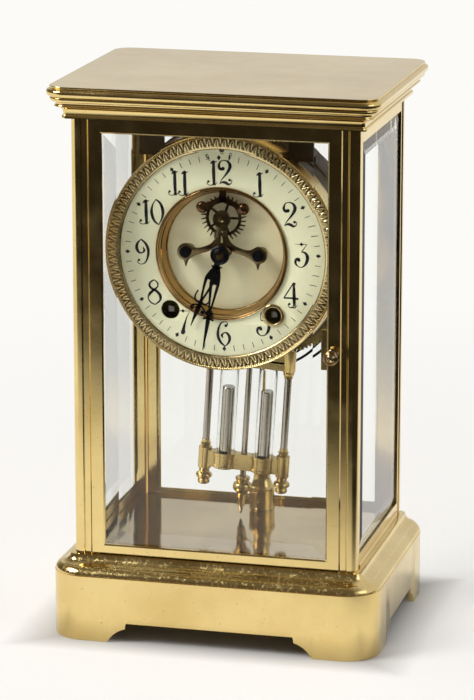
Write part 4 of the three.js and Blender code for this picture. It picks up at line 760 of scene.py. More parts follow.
gilt_profile = [
    (30.4, 0.3), (30.5, 0.55), (30.75, 0.75), (31.05, 0.7), (31.2, 0.55), (31.35, 0.85),
    (31.6, 1.05), (31.85, 0.95), (31.95, 0.7), (31.9, 0.3), (31.2, 0.3), (31.2, -1.2),
    (28.8, -7.1), (28, -7.1), (28.0, -6.5), (28.15, -6.1), (28.5, -5.9), (28.75, -5.5),
    (28.8, -4.9), (29.1, -4.2), (29.5, -3.1), (29.6, -2.4), (29.75, -2.0), (30.0, -1.8),
    (30.15, -1.4), (30.15, -0.8), (30.4, 0.3),
]
build("gilt_ring_turned", [turned(gilt_profile, 144)], on_dial, gilt, "gilt_ring", sharp=40)

disc_outline = [ring_of(29.5, count=120), ring_of(3.2, count=32), ring_of(1.1, 0, escape_y, 20)]
disc_shape = flat_shape(disc_outline, -8.4, -7.4, 0.1)
build("centre_disc_fine", [disc_shape], on_dial, disc_enamel_painted_reflection, "centre_disc")

grommet_profile = [
    (3.85, -1.2), (4.2, -1.2), (4.2, 0.3), (5.5, 0.3), (5.5, 0.5), (5.35, 0.8), (5.0, 0.95),
    (4.6, 0.85), (4.4, 0.95), (4.15, 0.95), (3.95, 0.75), (3.85, 0.4), (3.85, -1.2),
]
grommet = moved(turned(grommet_profile, 64), winding_x, winding_y)
build("winding_grommet_turned", [grommet], on_dial, bezel_brass, "winding_grommet", sharp=50)
print("dial pieces done")

# %% [markdown]
# ## The mounting ring
#
# A drum of aged sheet brass behind the bezel carries the movement. Its upper part is a deeper hood,
# which the photograph shows past the bezel as a dark arc at the upper right. The drum hangs from
# the cornice by two straps, and four short posts join it to the front plate.

# %% Mounting ring
ring_front, ring_back, drum_back, hood_front, hood_back = -8.1, -9.3, -19.9, -18.0, -36.0
drum_outer, drum_inner, hood_low, hood_high = 56.0, 55.2, 12, 168
hanger_low, hanger_top, hanger_foot, hanger_left, hanger_right = 44.0, 76.0, -17.7, 30.0, 42.0
dial_post, post_radius, post_back = 33.5, 1.6, -11.9
flange_outline = [ring_of(55.4, count=96), ring_of(46.3, count=96), regulator_ring]
ring_flange = flat_shape(flange_outline, ring_back, ring_front, 0.1)
ring_drum = turned([
    (55.0, ring_back), (55.0, ring_front), (55.8, ring_front), (drum_outer, -8.3),
    (drum_outer, -18.9), (56.4, -19.1), (56.4, drum_back), (drum_inner, drum_back),
    (55.0, ring_back),
], 112)
hood_angle = np.radians(np.linspace(hood_low, hood_high, 60))
hood_arc = np.column_stack([np.cos(hood_angle), np.sin(hood_angle)])
hood_outline = np.concatenate([drum_outer * hood_arc, drum_inner * hood_arc[::-1]])
ring_hood = prism(hood_outline, hood_back, hood_front)
ring_rim = turned([
    (49.8, ring_front), (51.0, ring_front), (51.0, -1.5), (49.8, -1.5), (49.8, ring_front),
], 96)
ring_parts = [ring_flange, ring_drum, ring_rim, ring_hood]
for sx in (1, -1):
    left, right = sorted((sx * hanger_left, sx * hanger_right))
    strap, foot = [
        [(left, level), (right, level), (right, hanger_top), (left, hanger_top)]
        for level in (hanger_low, hanger_top - 1.2)
    ]
    ring_parts += [prism(strap, ring_back, ring_front), prism(foot, hanger_foot, ring_front)]
    for sy in (1, -1):
        post = turned([
            (0, post_back), (post_radius, post_back), (post_radius, ring_front - 0.2),
            (0, ring_front - 0.2),
        ], 20)
        ring_parts.append(moved(post, sx * dial_post, sy * dial_post))
build("movement_ring_turned", ring_parts, on_dial, aged_brass, "movement_ring", sharp=40)
print("ring parts:", len(ring_parts))

# %% [markdown]
# ## The figures
#
# The hours are upright Arabic figures with swelling strokes, pointed joints and small balls at the
# ends of their hairlines. A pen stroke is a path with a width at each point, so one function draws
# them all: it runs a smooth curve through the points and carries a flat bar of changing width
# along it. Balls and diamonds are small flat shapes of their own. The whole set is one thin layer.

# %% Strokes
ink_low, ink_high = 0.005, 0.045


def through(points, steps=8):
    """A curve through points: from b to c it starts at slope (c - a) / 2, ends at (d - b) / 2."""
    points = np.asarray(points, float)
    first, last = 2 * points[:1] - points[1:2], 2 * points[-1:] - points[-2:-1]
    padded = np.concatenate([first, points, last])
    a, b, c, d = padded[:-3, None], padded[1:-2, None], padded[2:-1, None], padded[3:, None]
    t = np.linspace(0, 1, steps, endpoint=False)[None, :, None]
    bend, twist = 2 * a - 5 * b + 4 * c - d, 3 * b - a - 3 * c + d
    curve = 2 * b + (c - a) * t + bend * t ** 2 + twist * t ** 3
    return np.concatenate([curve.reshape(-1, points.shape[1]) / 2, points[-1:]])


def stroke(nib, low=ink_low, high=ink_high, steps=8):
    """A flat bar along a curve through (x, y, width) points: each side lies half a width off it."""
    line = through(nib, steps)
    path, width = line[:, :2], np.maximum(line[:, 2], 0.08)
    along = np.gradient(path, axis=0)
    along /= np.linalg.norm(along, axis=1, keepdims=True) + 1e-9
    side = np.column_stack([-along[:, 1], along[:, 0]]) * width[:, None] / 2
    left, right = path + side, path - side
    level = np.ones((len(path), 1))
    rows = np.stack([
        np.hstack([left, level * low]), np.hstack([right, level * low]),
        np.hstack([right, level * high]), np.hstack([left, level * high]),
    ], 1)
    return loft(rows)


def dot(x, y, radius, low=ink_low, high=ink_high):
    """A round end."""
    return prism(ring_of(radius, x, y, 20), low, high)


def diamond(x, y, across, along, degrees=0.0):
    """A diamond whose long axis starts upright and is turned by an angle."""
    points = np.array([(across, 0), (0, along), (-across, 0), (0, -along)], float)
    angle = math.radians(degrees)
    turn = np.array([[math.cos(angle), math.sin(angle)], [-math.sin(angle), math.cos(angle)]])
    return prism(points @ turn + np.array([x, y]), ink_low, ink_high)


print("points of a stroke of three:", len(stroke([(0, 0, 1), (0, 1, 1), (1, 1, 1)])[0]))

# %% [markdown]
# Each figure is drawn in its own box: x runs about 0 and y from -5.2 to 5.2 millimetres. A stroke
# is a list of (x, y, width) points. Balls are (x, y, radius) and diamonds (x, y, across, along).

# %% The ten figures
figure_strokes = {
    "1": [
        [(0.1, 4.2, 1.1), (0.05, 0, 1.35), (0.1, -4.2, 1.1)],
        [(0.1, 5.0, 0.1), (-0.5, 4.1, 0.9), (-1.3, 3.5, 0.1)],
        [(0.0, 4.6, 0.9), (0.8, 4.3, 0.5), (1.5, 4.7, 0.1)],
        [(0.3, -5.1, 0.2), (0.15, -4.4, 1.0), (-0.8, -4.9, 0.35), (-2.0, -4.9, 0.3),
         (-2.7, -4.2, 0.3), (-2.5, -3.5, 0.3)],
        [(0.3, -4.9, 0.5), (0.9, -4.3, 0.3), (1.5, -3.6, 0.1)],
    ],
    "2": [
        [(-0.9, 1.5, 1.1), (-1.9, 1.6, 1.2), (-2.4, 2.7, 1.0), (-1.7, 4.5, 0.5),
         (-0.2, 5.0, 0.35), (1.4, 4.4, 0.9), (2.1, 2.9, 1.35), (1.6, 1.2, 1.2), (0.2, -0.8, 0.7),
         (-1.4, -2.7, 0.35), (-2.3, -4.3, 0.2)],
        [(-2.3, -4.4, 0.15), (-1.1, -3.7, 0.8), (0.2, -3.9, 1.2), (1.3, -4.5, 0.9),
         (2.3, -4.1, 0.4), (2.7, -3.1, 0.3), (2.0, -2.5, 0.3)],
    ],
    "3": [
        [(-2.6, 4.6, 0.12), (0.0, 4.6, 0.3), (2.3, 4.6, 0.12)],
        [(2.3, 4.7, 0.12), (1.1, 3.0, 0.35), (0.0, 1.6, 0.3)],
        [(-0.1, 1.5, 0.3), (1.4, 1.2, 0.9), (2.3, -0.4, 1.35), (1.9, -2.6, 1.2),
         (0.4, -4.4, 0.45), (-1.3, -4.4, 0.35), (-2.5, -3.1, 0.9), (-2.3, -1.6, 1.0),
         (-1.2, -1.2, 0.9), (-0.9, -2.0, 0.6)],
    ],
    "4": [
        [(0.7, 5.0, 0.5), (-1.6, 1.6, 0.5), (-3.2, -0.8, 0.5)],
        [(-3.3, -0.9, 0.6), (-0.4, -0.9, 0.7), (2.6, -1.2, 0.8)],
        [(0.9, 4.6, 0.9), (0.9, 0, 1.3), (0.9, -4.2, 1.1)],
        [(1.8, 4.7, 0.2), (0.9, 5.0, 0.9), (0.1, 4.4, 0.2)],
        [(1.0, -5.0, 0.3), (0.4, -4.6, 0.7), (-0.9, -4.7, 0.35), (-1.6, -3.9, 0.3),
         (-1.4, -3.2, 0.3)],
        [(1.0, -4.9, 0.5), (1.6, -4.2, 0.3), (2.3, -3.6, 0.1)],
    ],
    "5": [
        [(2.3, 4.8, 0.15), (0.9, 4.3, 0.9), (-0.7, 4.5, 0.5), (-1.0, 3.2, 0.3), (-0.9, 1.6, 0.3)],
        [(-0.9, 1.5, 0.3), (0.9, 1.6, 0.7), (2.2, 0.1, 1.3), (2.0, -2.4, 1.2), (0.6, -4.3, 0.5),
         (-1.2, -4.5, 0.4), (-2.4, -3.3, 0.9), (-2.3, -1.8, 1.0), (-1.2, -1.3, 0.9),
         (-0.8, -2.1, 0.6)],
    ],
    "6": [
        [(1.1, 3.3, 0.9), (1.6, 4.2, 0.4), (0.6, 5.0, 0.3), (-1.1, 4.2, 0.6), (-2.2, 1.8, 0.9),
         (-2.4, -1.0, 1.2), (-1.4, -3.4, 1.0), (0.4, -5.1, 0.5)],
        [(0.4, -5.1, 0.3), (1.9, -3.4, 0.9), (2.3, -1.4, 1.2), (1.4, 0.2, 0.9), (0.1, 0.4, 0.5),
         (-0.8, -0.6, 0.9), (-0.5, -1.6, 0.5)],
    ],
    "7": [
        [(-3.0, 4.5, 0.12), (-0.2, 4.5, 0.3), (2.6, 4.5, 0.12)],
        [(2.6, 4.6, 0.12), (1.3, 2.2, 0.35), (0.3, -0.6, 0.8), (-0.3, -3.0, 1.3),
         (-0.5, -4.3, 1.9), (-0.3, -5.0, 0.6)],
    ],
    "8": [
        [(0.2, 5.0, 0.35), (1.5, 3.6, 0.6), (1.4, 2.2, 0.5), (0.0, 0.9, 0.9), (-1.7, -0.5, 1.1),
         (-2.6, -2.4, 0.5), (-1.6, -4.2, 0.6), (0.2, -5.1, 0.5)],
        [(0.2, 5.0, 0.5), (-1.4, 4.0, 0.8), (-1.9, 2.6, 0.9), (-1.0, 1.4, 1.0), (0.9, 0.4, 1.1),
         (2.4, -1.4, 1.2), (2.2, -3.4, 0.8), (0.2, -5.1, 0.4)],
    ],
    "9": [
        [(-0.4, 5.1, 0.5), (1.4, 3.4, 1.0), (2.4, 1.0, 1.2), (2.2, -1.8, 0.9), (1.1, -4.2, 0.6),
         (-0.6, -5.0, 0.3), (-2.0, -4.4, 0.3), (-1.8, -3.4, 0.5)],
        [(-0.4, 5.1, 0.3), (-1.9, 3.4, 0.9), (-2.3, 1.4, 1.2), (-1.4, -0.2, 0.9),
         (-0.1, -0.4, 0.5), (0.8, 0.6, 0.9), (0.3, 2.0, 0.3)],
    ],
    "0": [
        [(-0.4, 5.1, 0.5), (1.4, 3.4, 1.0), (2.3, 0.4, 1.3), (1.8, -2.6, 0.8), (0.4, -5.1, 0.3)],
        [(-0.4, 5.1, 0.3), (-1.9, 2.6, 0.6), (-2.3, -0.4, 1.2), (-1.4, -3.4, 1.0),
         (0.4, -5.1, 0.5)],
    ],
}
figure_dots = {
    "1": [(-2.2, -3.5, 0.5)], "2": [(-0.8, 1.7, 0.75), (1.8, -2.8, 0.55)],
    "3": [(-1.2, -1.8, 0.65)], "4": [(-1.1, -3.3, 0.5)], "5": [(-1.1, -1.9, 0.65)],
    "6": [(0.9, 3.3, 0.6)], "9": [(-1.5, -3.3, 0.5)],
}
figure_diamonds = {"3": [(0.0, 4.6, 0.75, 0.75)], "7": [(-0.3, 4.5, 0.8, 0.7)]}


def figure(digit, x, y, scale=1.0):
    """One figure, centred on x and y."""
    parts = [stroke(nib) for nib in figure_strokes[digit]]
    parts += [dot(*round_end) for round_end in figure_dots.get(digit, [])]
    parts += [diamond(*shape) for shape in figure_diamonds.get(digit, [])]
    grow = np.array([scale, scale, 1])
    return [(points * grow + np.array([x, y, 0]), faces) for points, faces in parts]


print("figures:", "".join(sorted(figure_strokes)))

# %% [markdown]
# Each hour stands upright at its place on a circle. Minutes are short ticks with a diamond at every
# fifth, and S and F beside twelve say which way to turn the regulator for slower or faster. The
# real dial sits in its bezel a little turned, so the whole set of marks is turned with it.

# %% Hours, minutes and the two letters
figure_radius, figure_scale, dial_turn = 38.5, 1.19, 1.6
figure_gap, narrow_gap = 5.5, 4.8
diamond_radius, tick_inner, tick_outer, tick_width, letter_radius = 45.7, 44.2, 46.9, 0.3, 46.3
ink = []
for hour in range(1, 13):
    direction = math.radians(90 - 30 * hour)
    x, y = figure_radius * math.cos(direction), figure_radius * math.sin(direction)
    digits = str(hour)
    gap = narrow_gap if digits == "11" else figure_gap
    for order, digit in enumerate(digits):
        middle = x + (order - (len(digits) - 1) / 2) * gap
        ink += figure(digit, middle, y, figure_scale)
for minute in range(60):
    degrees = 90 - 6 * minute
    outward = np.array([math.cos(math.radians(degrees)), math.sin(math.radians(degrees))])
    if minute % 5 == 0:
        ink.append(diamond(*(diamond_radius * outward), 0.95, 1.3, degrees=degrees - 90))
    else:
        ends = [(*(radius * outward), tick_width) for radius in (tick_inner, tick_outer)]
        ink.append(stroke(ends, steps=1))
letter_s = [[
    (0.62, 0.8, 0.3), (0, 1.15, 0.34), (-0.58, 0.65, 0.44), (0, 0, 0.56),
    (0.58, -0.65, 0.44), (0, -1.15, 0.34), (-0.62, -0.8, 0.3),
]]
letter_f = [
    [(-0.45, 1.15, 0.5), (-0.45, -1.15, 0.5)], [(-0.45, 1.05, 0.34), (0.7, 1.05, 0.4)],
    [(-0.45, 0.1, 0.34), (0.4, 0.1, 0.34)],
]
for letter, degrees in ((letter_s, 97), (letter_f, 83)):
    x = letter_radius * math.cos(math.radians(degrees))
    y = letter_radius * math.sin(math.radians(degrees))
    ink += [moved(stroke(nib), x, y) for nib in letter]
ink = [spun(shape, dial_turn) for shape in ink]
build("dial_figures", ink, on_dial, figures_black, body="case", slot="black_steel", sharp=30)
print("ink shapes:", len(ink))

# %% [markdown]
# ## Escapement
#
# The regulator's showpiece is its escapement, worked in front of the dial's sunk centre: a wheel
# of thirty slender raked teeth, an anchor whose two round heads hold the pallet pins, and a bridge
# with curved arms that carries the wheel's front pivot. Wheel and bridge are flat plates cut to an
# outline, so a filled flat curve makes them, with a fine edge.

# %% Escape wheel
def wheel_outline(teeth, tip, depth, shares):
    """Each tooth is a list of (share of the pitch, share of the height), repeated round the rim."""
    shares = np.asarray(shares, float)
    angle = (np.arange(teeth)[:, None] + shares[:, 0]) * 2 * np.pi / teeth
    radius = np.broadcast_to(tip - depth * (1 - shares[:, 1]), angle.shape)
    return np.column_stack([(radius * np.cos(angle)).ravel(), (radius * np.sin(angle)).ravel()])


def crossing_outlines(arms, inner, outer, arm_width, steps=8):
    """The openings between a wheel's arms: an outer arc and an inner arc, a margin off each arm."""
    outlines = []
    for arm in range(arms):
        start, sweep = arm / arms * 2 * np.pi, 2 * np.pi / arms
        share = np.linspace(0, 1, steps)
        sides = []
        for radius, order in ((outer, share), (inner, share[::-1])):
            margin = arm_width / 2 / radius
            angle = start + margin + order * (sweep - 2 * margin)
            sides.append(np.column_stack([radius * np.cos(angle), radius * np.sin(angle)]))
        outlines.append(np.concatenate(sides))
    return outlines


def cross_set(shape):
    """A pair modelled upright: its y and z change places, so that a turned piece lies along y."""
    points, faces = shape
    return points[:, [0, 2, 1]], faces


escape_count, escape_tip, tooth_depth = 30, 10.9, 2.3
escape_teeth = wheel_outline(escape_count, escape_tip, tooth_depth, [
    (0, 0), (0.08, 0.12), (0.26, 0.55), (0.42, 1), (0.58, 1), (0.54, 0.5), (0.5, 0.1), (0.49, 0),
    (0.75, -0.02),
])
escape_arms = crossing_outlines(5, 2.9, 7.2, 1.1)
escape_plate = flat_shape([escape_teeth] + escape_arms, -4.6, -3.6, 0.08)
escape_hub = turned([
    (0, -41.7), (0.8, -41.7), (0.8, -4.9), (2.6, -4.9), (2.6, -4.7), (2.6, -3.6), (2.3, -3.3),
    (1.6, -3.25), (1.5, -2.9), (0.8, -2.8), (0.8, -0.6), (0, -0.6),
], 40)
escape_parts = [moved(part, 0, escape_y) for part in (escape_plate, escape_hub)]
build("escape_wheel_fine", escape_parts, on_dial, wheel_bronze, "escape_wheel")
print("escape wheel:", escape_count, "teeth")

# %% [markdown]
# The anchor hangs from its arbor above the wheel. The arbor runs back through the plates to a
# crutch, whose fork takes hold of the pendulum.

# %% Anchor
def bar(start, end, width_start, width_end, low, high):
    """A tapered bar: each end lies half its width to both sides of the line between two points."""
    start, end = np.array(start, float), np.array(end, float)
    along = (end - start) / np.linalg.norm(end - start)
    side = np.array([-along[1], along[0]]) / 2
    near, far = side * width_start, side * width_end
    return prism([start + near, end + far, end - far, start - near], low, high)


anchor_y, pallet_x, pallet_y = 40.4, 10, -19
pallet_head = turned([
    (0, -2.8), (2.75, -2.8), (2.75, -1.7), (2.5, -1.35), (2.2, -1.3), (2.0, -1.5), (1.7, -1.25),
    (1.2, -1.15), (0, -1.1),
], 40)
pallet_pin = turned([(0, -3.3), (1.1, -3.3), (1.1, -2.7), (0, -2.7)], 24)
fork = cross_set(flat_shape([
    [(-1.9, -58.3), (1.9, -58.3), (1.9, -52), (-1.9, -52)],
    [(-1.0, -57.4), (1.0, -57.4), (1.0, -55.4), (-1.0, -55.4)],
], -27, -25))
anchor_parts = [
    bar((0, 1.5), (0, -16.1), 2.6, 3.2, -2.8, -1.8), bar((0, 1.5), (0, -26), 2, 2, -52.5, -51.5),
    turned([(0, -52.5), (0.8, -52.5), (0.8, -2.1), (0, -2.1)], 24), fork,
]
for side in (1, -1):
    anchor_parts.append(bar((0, -14.6), (side * pallet_x, pallet_y), 3.0, 2.0, -2.8, -1.8))
    anchor_parts += [moved(part, side * pallet_x, pallet_y) for part in (pallet_head, pallet_pin)]
anchor_parts = [moved(part, 0, anchor_y) for part in anchor_parts]
build("pallet_anchor_fine", anchor_parts, on_dial, copper_brass, "pallet_anchor")
print("anchor shapes:", len(anchor_parts))

# %% [markdown]
# The bridge's outline is drawn for one side, in shares of its reach, and mirrored.

# %% Bridge and its screws
bridge_reach = 17.6
bridge_over = through([
    (0.0, 1.05), (0.156, 0.82), (0.14, 0.66), (0.15, 0.52), (0.2, 0.38), (0.32, 0.25),
    (0.5, 0.165), (0.66, 0.125), (0.8, 0.14), (0.9, 0.2), (1.0, 0.235), (1.13, 0.19), (1.22, 0.07),
    (1.22, -0.08), (1.15, -0.18), (1.05, -0.24), (0.995, -0.4),
], 6)
bridge_under = through([
    (0.985, -0.4), (0.93, -0.25), (0.86, -0.17), (0.75, -0.1), (0.6, -0.035), (0.4, 0.03),
    (0.25, 0.105), (0.13, 0.185), (0.0, 0.215),
], 6)
bridge_half = np.concatenate([bridge_over, bridge_under]) * bridge_reach
bridge_all = np.concatenate([bridge_half, (bridge_half * np.array([-1, 1]))[::-1][1:-1]])
bridge_slot = [(-0.6, 5.1), (0.6, 5.1), (0.6, 10.7), (-0.6, 10.7)]
bridge_boss = turned([
    (0.8, -1.2), (4.2, -1.2), (4.2, 0.3), (4.1, 0.4), (3.5, 0.4), (3.4, 0.1), (3.1, 0.1),
    (3.0, 0.6), (2.3, 0.6), (2.2, 0.3), (1.9, 0.3), (1.8, 0.8), (1.2, 0.8), (0.8, 0.5),
    (0.8, -1.2),
], 48)
bridge_post = turned([(0, -7.1), (2.8, -7.1), (2.8, -0.6), (0, -0.6)], 32)
bridge_plate = flat_shape([bridge_all, bridge_slot], -1.2, 0, 0.12)
bridge_parts = [bridge_plate, moved(bridge_boss, 0, escape_y)]
bridge_parts += [moved(bridge_post, side * bridge_reach) for side in (1, -1)]
build("escape_bridge_fine", bridge_parts, on_dial, bridge_brass, "escape_bridge", sharp=25)

screw = turned([(0, 0.3), (2.8, 0.3), (2.8, 0.85), (2.65, 1.1), (2.2, 1.2), (0, 1.2)], 40)
for side, sx in (("left", -1), ("right", 1)):
    name = f"bridge_screw_{side}"
    build(f"{name}_fine", [moved(screw, sx * bridge_reach)], on_dial, black_steel, name)
print("bridge outline:", len(bridge_all), "points")

# %% [markdown]
# ## Hands
#
# The hands are pierced from sheet steel and blued nearly black: a leaf with a long slot, a small
# cross near the hub, and a collar with scrolls before the point. They are drawn with the same
# strokes as the figures, only thicker, because a saw follows a drawn line just as a pen does. Both
# are drawn pointing up and turned to the time on the dial.

# %% Minute and hour hands
def plate_of(nibs, dots, low, high):
    """Strokes and round ends of one plate, from low to high."""
    return [stroke(nib, low, high) for nib in nibs] + [dot(*item, low, high) for item in dots]


def both_sides(nib):
    """A stroke and its mirror image across the hand's middle line."""
    return [nib, [(-x, y, width) for x, y, width in nib]]


minute_turn, hour_turn = -190.2, -202.6
minute_nibs = [
    [(0, 2, 2.2), (0, 4.5, 1.9), (0, 6.4, 2.0)], [(-2.2, 5.6, 0.4), (0, 6.0, 1.4), (2.2, 5.6, 0.4)],
    [(0, 6, 2.2), (0, 8, 3.6), (0, 10.5, 4.6), (0, 13.2, 4.9), (0, 14.4, 4.9)],
    *both_sides([
        (1.75, 13.8, 1.5), (1.45, 17, 1.3), (1.05, 21, 1.0), (0.6, 25, 0.9), (0, 27.8, 1.1),
    ]),
    [(0, 27, 2.2), (0, 28.6, 3.2), (0, 30.2, 2.0)],
    [(-2.1, 31.4, 0.7), (0, 31.1, 1.1), (2.1, 31.4, 0.7)],
    [(0, 30, 2.0), (0, 33, 1.9), (0, 37, 1.5), (0, 42, 0.9), (0, 46.7, 0.35)],
]
minute_dots = [(-2.1, 31.5, 0.55), (2.1, 31.5, 0.55), (-1.5, 28.6, 0.7), (1.5, 28.6, 0.7)]
minute_hub = turned([
    (1.35, 3.0), (4.6, 3.0), (4.6, 3.5), (4.45, 4.0), (4.05, 4.25), (3.7, 4.1), (3.4, 3.85),
    (3.1, 4.0), (2.9, 4.4), (2.5, 4.65), (2.1, 4.5), (1.8, 4.3), (1.5, 4.5), (1.35, 4.6),
    (1.35, 3.0),
], 56)
minute_plate = plate_of(minute_nibs, minute_dots, 3.3, 3.9)
minute_parts = [spun(part, minute_turn) for part in minute_plate] + [minute_hub]
build("minute_hand_fine", minute_parts, on_dial, black_steel, "minute_hand")

hour_nibs = [
    [(0, 2, 2.0), (0, 5, 2.2), (0, 7.0, 1.8)], [(-2.0, 6.6, 0.4), (0, 7.0, 1.3), (2.0, 6.6, 0.4)],
    [(0, 7, 2.0), (0, 9, 3.6), (0, 11.5, 4.9), (0, 13.4, 5.2)],
    *both_sides([
        (1.9, 12.8, 1.6), (1.7, 15.5, 1.3), (1.1, 19.5, 1.0), (0.5, 22.6, 1.0), (0, 24.2, 1.1),
    ]),
    [(0, 23.5, 1.6), (0, 26, 1.7), (0, 28.4, 2.4), (0, 31, 1.8), (0, 34.5, 1.0), (0, 37.8, 0.35)],
    *both_sides([
        (0, 25.0, 1.0), (1.6, 25.6, 0.9), (3.0, 24.9, 0.8), (3.6, 23.2, 0.7), (3.3, 20.4, 0.7),
    ]),
    *both_sides([
        (0, 26.6, 0.9), (1.7, 27.2, 0.8), (3.2, 28.3, 0.8), (3.5, 29.6, 0.7), (2.6, 30.1, 0.7),
    ]),
]
hour_dots = [(-2.6, 29.5, 0.85), (2.6, 29.5, 0.85)]
hour_hub = turned([
    (2.9, 1.3), (4.2, 1.3), (4.2, 2.2), (4.0, 2.45), (3.1, 2.5), (2.9, 2.4), (2.9, 1.3),
], 48)
hour_plate = plate_of(hour_nibs, hour_dots, 1.6, 2.2)
hour_parts = [spun(part, hour_turn) for part in hour_plate] + [hour_hub]
build("hour_hand_fine", hour_parts, on_dial, black_steel, "hour_hand")

arbor_nose = turned([
    (0, -41.7), (1.05, -41.7), (1.05, 4.65), (1.9, 4.7), (2.0, 4.9), (1.8, 5.15), (1.1, 5.2),
    (0.95, 5.0), (0.5, 5.2), (0, 5.2),
], 32)
cannon = prism(wheel_outline(12, 2.6, 0.65, [(0, 0), (0.5, 1)]), -12.1, -11.2)
build("centre_arbor_fine", [arbor_nose, cannon], on_dial, wheel_bronze, "centre_arbor")
print("hands turned by", minute_turn, "and", hour_turn, "degrees")

# %% [markdown]
# ## Pendulum
#
# The bob holds two glass vials between two brass brackets. In the finest clocks such vials hold
# mercury, which rises in warm weather and makes up for the rod growing longer; here each holds a
# plain metal slug. Everything round is a turned profile in the bob's own tilted frame.

# %% Bob
def slab(low, high, x_half, y_half, soft=0.35):
    """A bar with chamfered long edges, from low to high."""
    return prism([
        (-x_half, -y_half + soft), (-x_half + soft, -y_half), (x_half - soft, -y_half),
        (x_half, -y_half + soft), (x_half, y_half - soft), (x_half - soft, y_half),
        (-x_half + soft, y_half), (-x_half, y_half - soft),
    ], low, high)


spread, vial_spread = 19.7, 9.7
upper_low, upper_high, upper_top = -6.8, -2.4, 1.0
lower_low, lower_high = -59.5, -51.5
upper_boss = turned([
    (0, upper_low - 4.0), (1.95, upper_low - 4.0), (2.2, upper_low - 3.6), (2.1, upper_low - 2.6),
    (2.6, upper_low - 2.2), (2.7, upper_low - 1.2), (2.5, upper_low - 0.9), (3.0, upper_low - 0.7),
    (3.2, upper_low - 0.3), (3.2, upper_top + 2.4), (2.9, upper_top + 2.8), (2.3, upper_top + 3.2),
    (0, upper_top + 3.2),
], 40)
cheek = [(-1.8, -3.4), (1.8, -3.4), (1.8, 0.6), (1.2, 1.5), (0, 1.8), (-1.2, 1.5), (-1.8, 0.6)]
upper = [slab(upper_low, upper_high, spread, 2.5)]
for sx in (1, -1):
    upper.append(moved(slab(upper_high - 1, upper_top, 7.8, 2.5), sx * (spread - 8)))
upper += [cross_set(turned([(0, -1.8), (0.6, -1.8), (0.6, 1.8), (0, 1.8)], 20))]
for sx in (1, -1):
    side_cheek = prism(cheek, *sorted((sx * 1.0, sx * 1.8)))
    upper += [moved(upper_boss, sx * spread), cross_set(side_cheek)]
bracket = "pendulum_upper_bracket"
build(f"{bracket}_fine", upper, on_bob, movement_brass, bracket, sharp=35)

finial = smooth([
    (0, 1.0), (1.9, 1.0), (1.9, -1.4), (2.5, -2.0), (2.7, -2.6), (2.5, -3.1), (2.6, -3.6),
    (3.7, -4.1), (4.15, -5.0), (4.0, -5.9), (3.1, -6.6), (2.5, -7.0), (3.0, -7.5), (3.1, -8.3),
    (2.7, -9.3), (1.6, -9.9), (0, -10.0),
], 1) + np.array([0, lower_low])
lower_boss = [
    (0, lower_low - 1.6), (2.9, lower_low - 1.6), (3.3, lower_low - 1.2), (3.3, lower_high + 1.2),
    (2.9, lower_high + 1.6), (2.3, lower_high + 1.9), (2.2, lower_high + 2.5),
    (2.6, lower_high + 2.9), (2.5, lower_high + 3.5), (2.05, lower_high + 3.8),
    (2.05, lower_high + 5.0), (1.8, lower_high + 5.3), (0, lower_high + 5.3),
]
cup = [
    (0, lower_low), (5.6, lower_low), (6.0, lower_low + 0.4), (6.0, lower_low + 1.4),
    (5.7, lower_low + 1.7), (5.7, lower_high - 1.8), (6.0, lower_high - 1.5),
    (6.0, lower_high - 0.3), (5.7, lower_high), (4.8, lower_high), (4.8, lower_low + 1.6),
    (0, lower_low + 1.6),
]
lower = [slab(lower_low, lower_high, spread, 2.5)]
for sx in (1, -1):
    lower += [moved(turned(lower_boss, 40), sx * spread), moved(turned(finial, 40), sx * spread)]
    lower.append(moved(turned(cup, 48), sx * vial_spread))
bracket = "pendulum_lower_bracket"
build(f"{bracket}_fine", lower, on_bob, movement_brass, bracket, sharp=35)
print("brackets done:", len(upper), "and", len(lower), "shapes")

# %% [markdown]
# The vials stand in the cups of the lower bracket and end just under the upper one, as the rods do.
# The nut below the bob screws along the centre rod and sets how fast the clock runs.

# %% Rods, vials and rating nut
rod_top, slug_height = -7.1, 38.0
centre_rod = turned([(0, -82.5), (0.8, -81.1), (1.5, -76.9), (1.5, rod_top), (0, rod_top)], 28)
build("centre_rod_fine", [centre_rod], on_bob, weight_steel, "centre_rod")
outer_rod = turned([(0, -51.2), (1.8, -51.2), (1.8, rod_top), (0, rod_top)], 28)
vial_low, vial_high = lower_low + 1.9, rod_top
vial = turned([
    (0, vial_low), (4.1, vial_low), (4.5, vial_low + 0.5), (4.5, vial_high - 0.4),
    (4.3, vial_high), (3.9, vial_high), (3.7, vial_high - 0.4), (3.7, vial_low + 1.2),
    (3.4, vial_low + 0.8), (0, vial_low + 0.8),
], 48)
slug_low = vial_low + 1.1
slug_high = slug_low + slug_height
slug = turned([
    (0, slug_low), (2.9, slug_low), (3.2, slug_low + 0.4), (3.2, slug_high - 0.4),
    (2.9, slug_high), (0, slug_high),
], 40)
for side, sx in (("left", -1), ("right", 1)):
    for name, shape, reach, finish in (
        ("outer_rod", outer_rod, spread, weight_steel),
        ("vial", vial, vial_spread, vial_glass),
        ("weight", slug, vial_spread, weight_steel),
    ):
        node = f"{name}_{side}"
        build(f"{node}_fine", [moved(shape, sx * reach)], on_bob, finish, node)
nut = smooth([
    (1.7, -63), (2.6, -63), (3.6, -63.3), (3.6, -64.8), (2.7, -65.4), (3.4, -66.0), (4.3, -66.6),
    (4.8, -68.1), (4.4, -69.9), (2.9, -71.1), (2.5, -72.3), (2.2, -74.5), (1.9, -78), (1.7, -78),
], 1)
nut_shape = turned(np.concatenate([nut, nut[:1]]), 40)
build("rating_nut_fine", [nut_shape], on_bob, movement_brass, "rating_nut", sharp=35)
print("vials", round(vial_high - vial_low, 1), "mm high, weights", slug_height, "mm")

